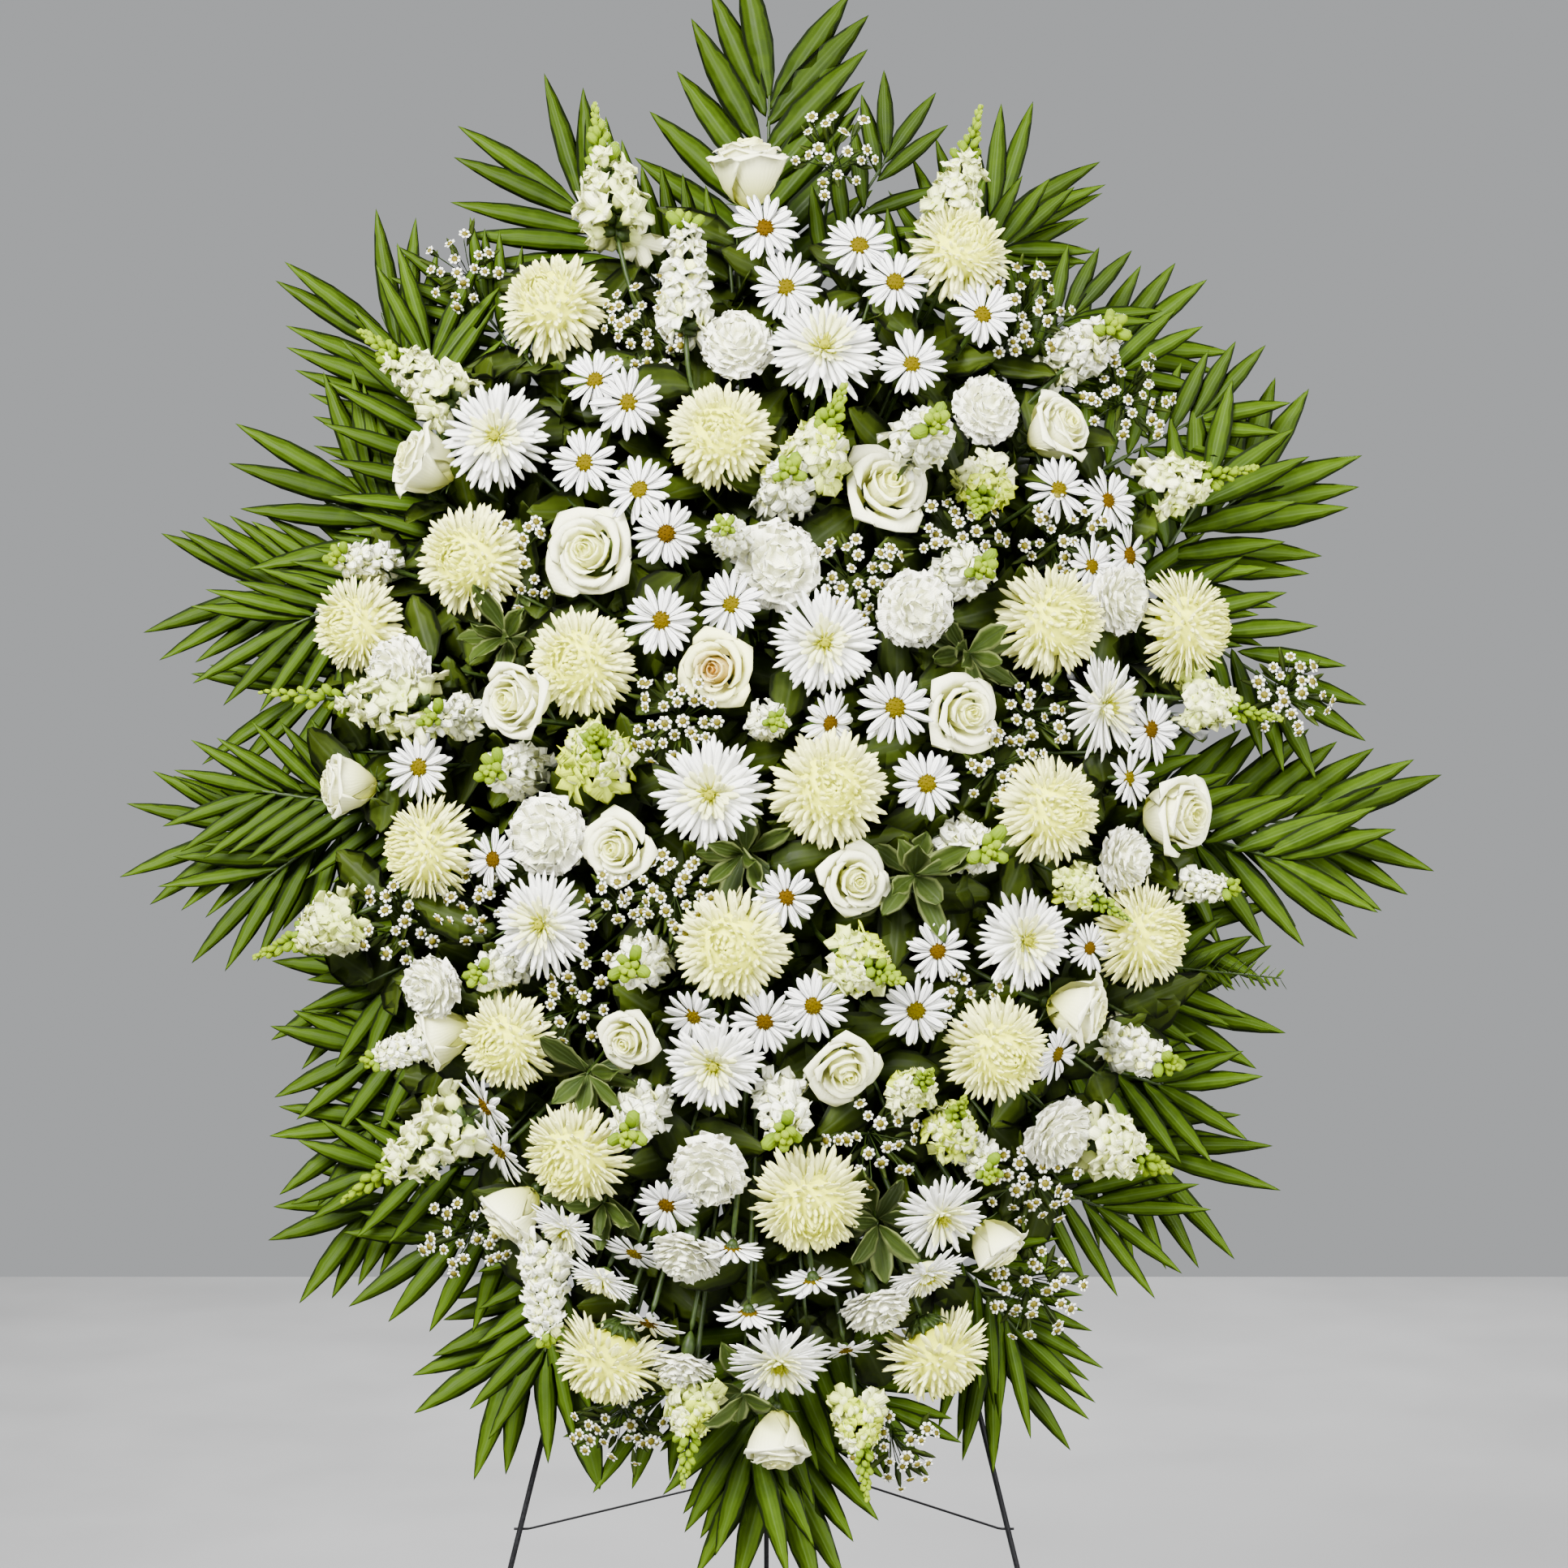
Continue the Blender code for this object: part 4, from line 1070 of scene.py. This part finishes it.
def spike(bm, draw, base, tip, width, growth, green, in_bud=0.0):
    """Florets in a spiral up a stalk, open at its base and in bud at its tip."""
    floret, florets, buds, open_share, size_share = growth
    open_share *= 1 - in_bud
    axis = tip - base
    length = axis.length
    axis = axis / length
    first, second = cross_ways(axis)
    for step in range(florets + buds):
        flat = round_way(step * GOLDEN + draw.uniform(-0.25, 0.25), first, second)
        if step < florets:
            share = step / florets
            along = share * open_share * length
            size = width * size_share * between(1.0, 0.62, share) * draw.uniform(0.85, 1.15)
            out = (flat + axis * between(0.1, 0.9, share)).normalized()
            up = (axis - axis.dot(out) * out).normalized()
            place = base + axis * along + flat * width * 0.06
            floret(bm, draw, place, out, up, size, between(1.0, 0.75, share), green)
        else:
            share = (step - florets) / buds
            along = between(open_share, 0.98, share) * length
            out = (flat * between(1.0, 0.35, share) + axis * between(0.6, 1.6, share)).normalized()
            size = width * between(0.22, 0.10, share) * draw.uniform(0.8, 1.2)
            place = base + axis * along + out * size * 0.75
            knob(bm, place, out, size * 0.34, size * 1.2, 6, 4, BUD_PARTS, share, draw.random(), 0.6)


# Putting the plants in their places


def planted(across, height, out):
    """The place this far out from the frame that is sighted at across and height, and its scale."""
    sighted = TO_FRAME @ Vector((across * CM, SIGHTED_PLANE, height * CM))
    sight = TO_FRAME @ SIGHT_POINT
    scale = (-out - sight.y) / (sighted.y - sight.y)
    return sight + scale * (sighted - sight), scale


def dome_out(across, height):
    """How far out a bloom's centre stands: furthest in the middle of the spray."""
    reach = math.hypot(across / SPRAY_HALF_WIDTH, (height - SPRAY_MIDDLE) / SPRAY_HALF_HEIGHT)
    return RIM_DEPTH + (MIDDLE_DEPTH - RIM_DEPTH) * max(0.0, 1.0 - reach * reach)


def facing(across, height, turn):
    """Way that a bloom faces: to the front, turned away from the hub of the spray."""
    hub = min(max(height, HUB_LOW), HUB_HIGH)
    radial = Vector((across, 0.0, height - hub))
    if radial.length < AT_HUB:
        radial = UP.copy()
    angle = math.radians(turn)
    return TO_FRAME @ (math.cos(angle) * FRONT_WAY + math.sin(angle) * radial.normalized())


def foam_exit(place, core_out=STEM_CORE_OUT):
    """Where the stem of what stands at this place starts in the foam, and the way it leaves."""
    core = Vector((place.x * CORE_ACROSS, -core_out, CAGE_MIDDLE_UP + (place.z - CAGE_MIDDLE_UP) * CORE_UP))
    way = place - core
    limits = (
        (CAGE_HALF.x - STEM_SUNK - abs(core.x)) / max(abs(way.x), LEAST_RUN),
        (CAGE_FRONT - core_out - STEM_SUNK) / max(-way.y, LEAST_RUN),
        (CAGE_HALF.z - STEM_SUNK - abs(core.z - CAGE_MIDDLE_UP)) / max(abs(way.z), LEAST_RUN),
    )
    return core + way * max(0.0, min(limits)), way.normalized()


def root_stem(bm, place, neck, arriving, radius, core_out=STEM_CORE_OUT):
    """Runs the stem of what stands at this place out of the foam and up to its neck."""
    foot, leaving = foam_exit(place, core_out)
    stem(bm, foot, leaving, neck, arriving, radius)


def shown(name, bm, finishes):
    """The object that shows this shape in these finishes."""
    mesh = bpy.data.meshes.new(name)
    bm.to_mesh(mesh)
    bm.free()
    for finish in finishes:
        mesh.materials.append(finish)
    made = bpy.data.objects.new(name, mesh)
    bpy.context.scene.collection.objects.link(made)
    return made


def add_piece(name, bm, finishes, stands_for=None):
    """Stands the plant up in the easel's leaning frame and makes it a piece of the spray."""
    bmesh.ops.transform(bm, matrix=LEANING, verts=bm.verts)
    bmesh.ops.recalc_face_normals(bm, faces=bm.faces)
    made = shown(name, bm, finishes)
    made.data.shade_smooth()
    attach(made, BODY)
    if stands_for:
        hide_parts(stands_for)


heads = []  # centre and reach of every flower that is in place


def settled(across, height, radius, room, fixed=False):
    """The place of a flower: on the dome, moved out until it has room among its neighbours."""
    out = dome_out(across, height)
    furthest = out if fixed else out + SETTLE_LIMIT
    while True:
        centre, scale = planted(across, height, out)
        reach = radius * CM * scale * room
        crowded = any((centre - other).length < reach + taken for other, taken in heads)
        if not crowded or out + SETTLE_STEP > furthest:
            heads.append((centre, reach))
            return centre, radius * CM * scale
        out += SETTLE_STEP


def plant_head(name, planting, grow, seat, finishes, stands_for=None):
    """Grows a head, turns it to face its way, and runs its stem to the foam."""
    across, height, diameter, turn = planting
    room, neck_depth = seat
    draw = random.Random(name)
    centre, radius = settled(across, height, diameter / 2, room, stands_for is not None)
    way = facing(across, height, turn)
    bm = new_plant()
    grow(bm, draw)
    faced = way.to_track_quat("Z", "Y").to_matrix().to_4x4()
    turned = faced @ Matrix.Rotation(draw.uniform(0, 6.28), 4, "Z")
    place = Matrix.Translation(centre) @ turned @ Matrix.Scale(radius, 4)
    bmesh.ops.transform(bm, matrix=place, verts=bm.verts)
    root_stem(bm, centre, centre - way * radius * neck_depth, way, STEM_RADIUS)
    add_piece(name, bm, finishes, stands_for)


def plant_spike(name, planting, growth, petals):
    """A spike of florets that points away from the hub, or at the front where it is very green."""
    base_plan, tip_plan, width, green = planting
    draw = random.Random(name)
    base, scale = planted(*base_plan, dome_out(*base_plan) - BASE_BACK)
    further = FACING_TIP_OUT if green > 1.0 else TIP_OUT
    tip = planted(*tip_plan, dome_out(*tip_plan) + further)[0]
    bm = new_plant()
    spike(bm, draw, base, tip, width * CM * scale, growth, green, GREENER_IN_BUD * min(1.0, green))
    way = (tip - base).normalized()
    root_stem(bm, base, base, way, STEM_RADIUS)
    stem(bm, base - way * 0.004, way, tip, way, SPIKE_RADIUS)
    add_piece(name, bm, (petals, stem_green, bud_green))


def plant_stock_head(name, planting):
    """A stock spike seen from its tip: a round clump of florets with green buds in the middle."""
    across, height, diameter, turn = planting
    draw = random.Random(name)
    centre, radius = settled(across, height, diameter / 2, STOCK_ROOM)
    way = facing(across, height, turn)
    base = centre - way * radius * 0.9
    tip = centre + way * radius * 0.9
    bm = new_plant()
    spike(bm, draw, base, tip, radius * 2, STOCK_HEAD_GROWTH, STOCK_GREEN)
    root_stem(bm, base, tip, way, STEM_RADIUS)
    add_piece(name, bm, (stock_petals, stem_green, bud_green))


def small_aster(bm, draw, place, way, radius):
    """Flat rays round a domed olive eye."""
    rays = 7
    first, second = cross_ways(way)
    for azimuth in circle(rays, draw.uniform(0, 3)):
        flat = round_way(azimuth, first, second)
        foot = place + flat * radius * 0.25
        tip = place + flat * radius + way * radius * draw.uniform(-0.1, 0.3)
        thick = radius * 0.06
        petal(bm, foot, tip, way, 0.3, radius * 0.62, **ASTER_RAY, thick=thick, chance_and_painted_light=draw.random())
    knob(bm, place + way * radius * 0.1, way, radius * 0.60, radius * 0.4, 6, 3, EYE_PARTS)


def plant_aster_spray(name, planting):
    """Small flowers and narrow leaves on thin stalks that branch from one stem."""
    across, height, reach, flowers = planting
    draw = random.Random(name)
    centre, scale = planted(across, height, dome_out(across, height) - ASTER_BACK)
    reach *= CM * scale
    way = facing(across, height, ASTER_TURN)
    first, second = cross_ways(way)
    fork = centre - way * reach * 1.1
    bm = new_plant()
    for area, azimuth in spiral(flowers):
        share = math.sqrt(area)
        flat = round_way(azimuth + draw.uniform(-0.4, 0.4), first, second)
        place = centre + flat * reach * share + way * reach * draw.uniform(-0.25, 0.35) * (1.3 - share)
        sway = random_way(draw, 0.35)
        turned = (way + flat * share * 0.8 + sway).normalized()
        small_aster(bm, draw, place, turned, draw.uniform(*ASTER_RADII))
        start = fork + way * reach * draw.uniform(-0.2, 0.5)
        neck = place - turned * 0.002
        stem(bm, start, (place - start).normalized(), neck, turned, ASTER_STALK_RADIUS, 4, 4)
        middle = start.lerp(place, draw.uniform(0.4, 0.8))
        leaf_way = (flat + way * draw.uniform(-0.2, 0.8) + sway).normalized()
        leaf_tip = middle + leaf_way * draw.uniform(*ASTER_LEAF_LENGTHS)
        petal(bm, middle, leaf_tip, way, 0.4, ASTER_LEAF_WIDTH, **ASTER_LEAF, chance_and_painted_light=draw.random())
    root_stem(bm, fork, fork + way * reach * 0.5, way, SPRAY_RADIUS)
    add_piece(name, bm, (aster_rays, stem_green, aster_eye, fill_leaf))


def frond(name, planting, out, stands_for=None):
    """A palm frond: narrow pointed leaflets along a rib, on a stalk that runs to the foam."""
    plan_name, foot_plan, end_plan, leaflet_length, pairs = planting
    draw = random.Random(name)
    foot = planted(*foot_plan, out)[0]
    end, scale = planted(*end_plan, out)
    longest = leaflet_length * CM * scale
    rib = (end - foot).normalized()
    side = Vector((rib.z, 0.0, -rib.x))
    length = (end - foot).length
    narrow = plan_name.removesuffix("_companion") in NARROW_FRONDS
    pairs = pairs if narrow else max(LEAST_PAIRS, round(pairs * PAIRS_SHARE))
    breadth = longest * (NARROW_LEAFLET if narrow else BROAD_LEAFLET)
    # Painted light and shade: a frond high in the spray is painted darker and one low in it lighter, on top
    # of its random tone
    shade = max(0.0, (foot_plan[1] + end_plan[1]) / 2 - SHADED_ABOVE) * SHADED_MORE
    lit = max(0.0, SPRAY_MIDDLE - end_plan[1]) * LIT_MORE
    tone_and_painted_light = draw.uniform(0.2, 0.4) - shade + lit
    bow = draw.uniform(-0.07, 0.07)
    bm = new_plant()
    for pair in range(-HIDDEN_PAIRS, pairs + 1):
        share = min(1.0, (pair + 0.5) / pairs)
        start = foot + share * length * rib + bow * share * (1 - share) * 4 * length * side
        swing = 4 * bow * (1 - 2 * share)
        spread = END_LEAFLET_ANGLE if pair == pairs else between(*LEAFLET_ANGLES, share)
        for sign in (-1, 1):
            angle = math.radians(spread + draw.uniform(-3, 3)) * sign + swing
            reach = longest * LEAFLET_STRETCH * draw.uniform(0.93, 1.02)
            way = math.cos(angle) * rib + math.sin(angle) * side
            root = start - rib * longest * (ROOT_BACK + ROOT_STAGGER * sign)
            hang = Vector((0, 0, -reach * draw.uniform(0.0, 0.10)))
            tip = root + way * reach + FRONT_WAY * reach * draw.uniform(-0.03, 0.08) + hang
            petal(
                bm, root, tip, -FRONT_WAY, draw.uniform(0.1, 0.45), breadth,
                **LEAFLET, chance_and_painted_light=tone_and_painted_light + TONE_SPREAD * draw.random(), twist=draw.uniform(-0.35, 0.35),
            )
    root_stem(bm, foot, foot, rib, FROND_STALK_RADIUS, out + CORE_FURTHER)
    stem(bm, foot - rib * 0.003, rib, end + rib * 0.01, rib, FROND_RIB_RADIUS)
    add_piece(name, bm, (palm_leaf, stem_green), stands_for)


def companion(planting, side):
    """A shorter frond that leaves the same place at an angle."""
    name, foot, end, leaflet_length, pairs = planting
    rib = Matrix.Rotation(math.radians(side * COMPANION_SWING), 2) @ (Vector(end) - Vector(foot))
    end = Vector(foot) + rib * COMPANION_LENGTH
    return f"{name}_companion", foot, tuple(end), leaflet_length * COMPANION_LENGTH, pairs - 1


def plant_long_leaf():
    """One broad leaf that hangs below the fronds."""
    base_plan, tip_plan, width = LONG_LEAF
    base, scale = planted(*base_plan, COMPANION_OUT)
    tip = planted(*tip_plan, COMPANION_OUT)[0]
    bm = new_plant()
    petal(bm, base, tip, -FRONT_WAY, 0.3, width * CM * scale, **LONG_BLADE, chance_and_painted_light=0.3)
    neck = base + (tip - base) * 0.03
    root_stem(bm, base, neck, (tip - base).normalized(), LONG_LEAF_RADIUS, COMPANION_OUT + CORE_FURTHER)
    add_piece("long_leaf", bm, (palm_leaf, stem_green))


def plant_feather_twig():
    """A thin twig with short fine needles down both sides."""
    draw = random.Random("feather_twig")
    base, end = (planted(*plan, TWIG_OUT)[0] for plan in FEATHER_TWIG)
    way = (end - base).normalized()
    side = Vector((way.z, 0.0, -way.x))
    bm = new_plant()
    for step in range(TWIG_NEEDLES):
        share = (step + 0.5) / TWIG_NEEDLES
        root = base.lerp(end, share)
        sign = 1 if step % 2 else -1
        lean = (way * 0.8 + side * sign + Vector((0, draw.uniform(-0.7, 0.3), 0))).normalized()
        reach = between(*NEEDLE_LENGTHS, share) * draw.uniform(0.8, 1.15)
        petal(bm, root, root + lean * reach, way, 0.2, NEEDLE_WIDTH, **NEEDLE, chance_and_painted_light=draw.random())
    root_stem(bm, base, base, way, TWIG_STALK_RADIUS, TWIG_OUT)
    stem(bm, base, way, end, way, TWIG_RADIUS)
    add_piece("feather_twig", bm, (palm_leaf, stem_green))


def leaf_sprig(name, planting):
    """A rosette of oval leaves with pale margins."""
    across, height, leaf_length, leaves = planting
    draw = random.Random(name)
    centre, scale = planted(across, height, dome_out(across, height) - SPRIG_BACK)
    way = facing(across, height, SPRIG_TURN)
    first, second = cross_ways(way)
    longest = leaf_length * CM * scale
    bm = new_plant()
    for share, azimuth in spiral(leaves):
        flat = round_way(azimuth + draw.uniform(-0.4, 0.4), first, second)
        sway = random_way(draw, 0.3)
        lean = (flat * between(0.5, 1.0, share) + way * between(0.9, 0.0, share) + sway).normalized()
        foot = centre - way * longest * 0.6 * share
        tip = foot + lean * longest * draw.uniform(0.55, 1.1)
        petal(
            bm, foot, tip, way, draw.uniform(-0.8, 0.6), longest * draw.uniform(0.24, 0.36),
            **SPRIG_BLADE, chance_and_painted_light=draw.random(), twist=draw.uniform(-0.6, 0.6),
        )
    root_stem(bm, centre, centre, way, SPRIG_RADIUS)
    add_piece(name, bm, (sprig_leaf, stem_green))


def held_back(point, clear):
    """The point, moved back if it stands out as far as the flowers do."""
    furthest = HELD_BACK * dome_out(point.x / CM, point.z / CM) - clear
    return Vector((point.x, max(point.y, -furthest), point.z))


def fill_branch(name, across, height, depth_share, leaf_length, leaves, bare):
    """A leafy branch behind the flowers, which closes the spray; its foot is bare for this share."""
    draw = random.Random(name)
    end, scale = planted(across, height, dome_out(across, height) * depth_share)
    foot, leaving = foam_exit(end)
    way = (end - foot).normalized()
    first, second = cross_ways(way)
    longest = leaf_length * CM * scale
    bm = new_plant()
    for share, azimuth in spiral(leaves):
        flat = round_way(azimuth + draw.uniform(-0.3, 0.3), first, second)
        root = foot + (end - foot) * between(bare, 1.0, share)
        lean = (flat + way * draw.uniform(0.2, 0.8)).normalized()
        clear = HELD_CLEAR * draw.uniform(0.3, 2.0)
        tip = held_back(root + lean * longest * draw.uniform(0.7, 1.1), clear)
        petal(
            bm, root, tip, FRONT_WAY + way * 0.5, draw.uniform(-0.5, 0.5), longest * 0.5,
            **FILL_BLADE, chance_and_painted_light=draw.random(), twist=draw.uniform(-0.5, 0.5),
        )
    stem(bm, foot, leaving, end, way, BRANCH_RADIUS, 4, 6)
    add_piece(name, bm, (fill_leaf, stem_green))


def fill_place(azimuth, share):
    """Across and height at this share of the fill's reach, this way round from its middle."""
    return FILL_ACROSS * share * math.cos(azimuth), SPRAY_MIDDLE + FILL_UP * share * math.sin(azimuth)


def fill_spray():
    """Branches spread evenly over the whole spray at three depths, and a ring of them at its rim."""
    for number, (area, azimuth) in enumerate(spiral(FILL_BRANCHES)):
        place = fill_place(azimuth, math.sqrt(area))
        depth_share = FILL_DEPTHS[number % len(FILL_DEPTHS)]
        fill_branch(f"leaf_branch_{number + 1:03d}", *place, depth_share, *FILL_LEAVES)
    for number in range(RIM_BRANCHES):
        share = RIM_SHARES[number % len(RIM_SHARES)]
        place = fill_place((number + 0.5) * math.tau / RIM_BRANCHES, share)
        fill_branch(f"rim_branch_{number + 1:02d}", *place, RIM_DEPTH_SHARE, *RIM_LEAVES)


def numbered(kind, plantings):
    """The name and the planting of each piece of this kind."""
    for number, planting in enumerate(plantings, start=1):
        yield f"{kind}_{number:02d}", planting


def plant_heads():
    """Heads that stand for CAD pieces come first, and the others are moved out where these crowd them."""
    cream_finishes = (football_petals, stem_green)
    fuji_finishes = (fuji_petals, stem_green, fuji_heart)
    for name, planting in numbered("football_head", FOOTBALL_MUMS):
        stands_for = name.replace("head", "mum")
        plant_head(name, planting, football_mum, FOOTBALL_SEAT, cream_finishes, stands_for)
    for name, planting in numbered("fuji_head", SPIDER_MUMS):
        stands_for = name.replace("fuji_head", "spider_mum")
        plant_head(name, planting, fuji_mum, FUJI_SEAT, fuji_finishes, stands_for=stands_for)
    for name, planting in numbered("small_fuji", SMALL_SPIDER_MUMS):
        plant_head(name, planting, fuji_mum, SMALL_FUJI_SEAT, fuji_finishes)
    for name, planting in numbered("rose", ROSES):
        grow = half_open_rose if planting[3] >= HALF_OPEN_TURN else rose
        petals = apricot_petals if planting is APRICOT_ROSE else rose_petals
        plant_head(name, planting, grow, ROSE_SEAT, (petals, stem_green))
    for name, planting in numbered("carnation", CARNATIONS):
        plant_head(name, planting, carnation, CARNATION_SEAT, (carnation_petals, stem_green))
    for name, planting in numbered("daisy", DAISIES):
        plant_head(name, planting, daisy, DAISY_SEAT, (daisy_rays, stem_green, daisy_eye))
    for name, planting in numbered("stock_head", STOCK_HEADS):
        plant_stock_head(name, planting)


def plant_fronds():
    """Fronds that stand for the CAD's, a companion beside most of them, and those further in."""
    for number, planting in enumerate(FRONDS):
        node_name = planting[0]
        frond(f"{node_name}_leaflets", planting, FIRST_FROND_OUT + number * FROND_PITCH, node_name)
        if node_name not in LONE_FRONDS:
            second = companion(planting, 1 if number % 2 else -1)
            frond(second[0], second, COMPANION_OUT + number * FROND_PITCH)
    for number, planting in enumerate(INNER_FRONDS):
        frond(planting[0], planting, COMPANION_OUT + number % INNER_LAYERS * FROND_PITCH)


def plant_all():
    """Every plant of the spray, the heads first."""
    plant_heads()
    for name, planting in numbered("stock_spike", STOCK_SPIKES):
        plant_spike(name, planting, STOCK_SPIKE_GROWTH, stock_petals)
    for name, planting in numbered("snapdragon", SNAPDRAGONS):
        plant_spike(name, planting, SNAPDRAGON_GROWTH, snapdragon_petals)
    for name, planting in numbered("aster_spray", ASTER_SPRAYS):
        plant_aster_spray(name, planting)
    plant_fronds()
    plant_long_leaf()
    plant_feather_twig()
    for name, planting in numbered("leaf_sprig", LEAF_SPRIGS):
        leaf_sprig(name, planting)
    fill_spray()


# The easel and the stage


def finish_easel():
    """Paint, plastic and wet foam for the CAD pieces that no plant stands for."""
    finishes = {"cage_tray": cage_plastic, "cage_grid": cage_plastic, "foam_block": wet_foam}
    for name, thing in frame["nodes"].items():
        if not name.startswith(("palm_", "football_", "spider_")):
            for slot in thing.material_slots:
                slot.material = finishes.get(name, black_wire)


def add_camera():
    """A camera at the viewing height, a little above the spray's middle, tipped slightly down."""
    data = bpy.data.cameras.new("front_camera")
    data.lens = CAMERA_LENS
    data.sensor_width = SENSOR
    camera = bpy.data.objects.new("front_camera", data)
    camera.location = FRONT_FEET + SIGHT_POINT
    camera.rotation_euler = (math.pi / 2 - CAMERA_PITCH, 0.0, 0.0)
    bpy.context.scene.collection.objects.link(camera)
    bpy.context.scene.camera = camera


def add_floor():
    """A plain pale floor that ends behind the spray."""
    bm = bmesh.new()
    bmesh.ops.create_grid(bm, x_segments=1, y_segments=1, size=1.0)
    depth = FLOOR_REACH + FLOOR_BEHIND
    bmesh.ops.scale(bm, vec=(FLOOR_REACH, depth / 2, 1.0), verts=bm.verts)
    bmesh.ops.translate(bm, vec=FRONT_FEET + Vector((0, FLOOR_BEHIND - depth / 2, 0)), verts=bm.verts)
    floor = shown("floor", bm, (pale_floor,))


def add_light(name, place, size, power):
    """A square lamp that is aimed at the middle of the spray."""
    data = bpy.data.lights.new(name, "AREA")
    data.shape = "SQUARE"
    data.size = size
    data.energy = power
    light = bpy.data.objects.new(name, data)
    light.location = place
    light.rotation_mode = "QUATERNION"
    light.rotation_quaternion = (LIT_MIDDLE - Vector(place)).to_track_quat("-Z", "Y")
    light.visible_camera = False
    bpy.context.scene.collection.objects.link(light)


def add_surround():
    """The even grey light that comes from all sides."""
    world = bpy.data.worlds.new("studio")
    world.use_nodes = True
    background = world.node_tree.nodes["Background"]
    background.inputs["Color"].default_value = SURROUND
    background.inputs["Strength"].default_value = 1.0
    bpy.context.scene.world = world


add_camera()
add_floor()
for light in LIGHTS:
    add_light(*light)
add_surround()
finish_easel()
plant_all()
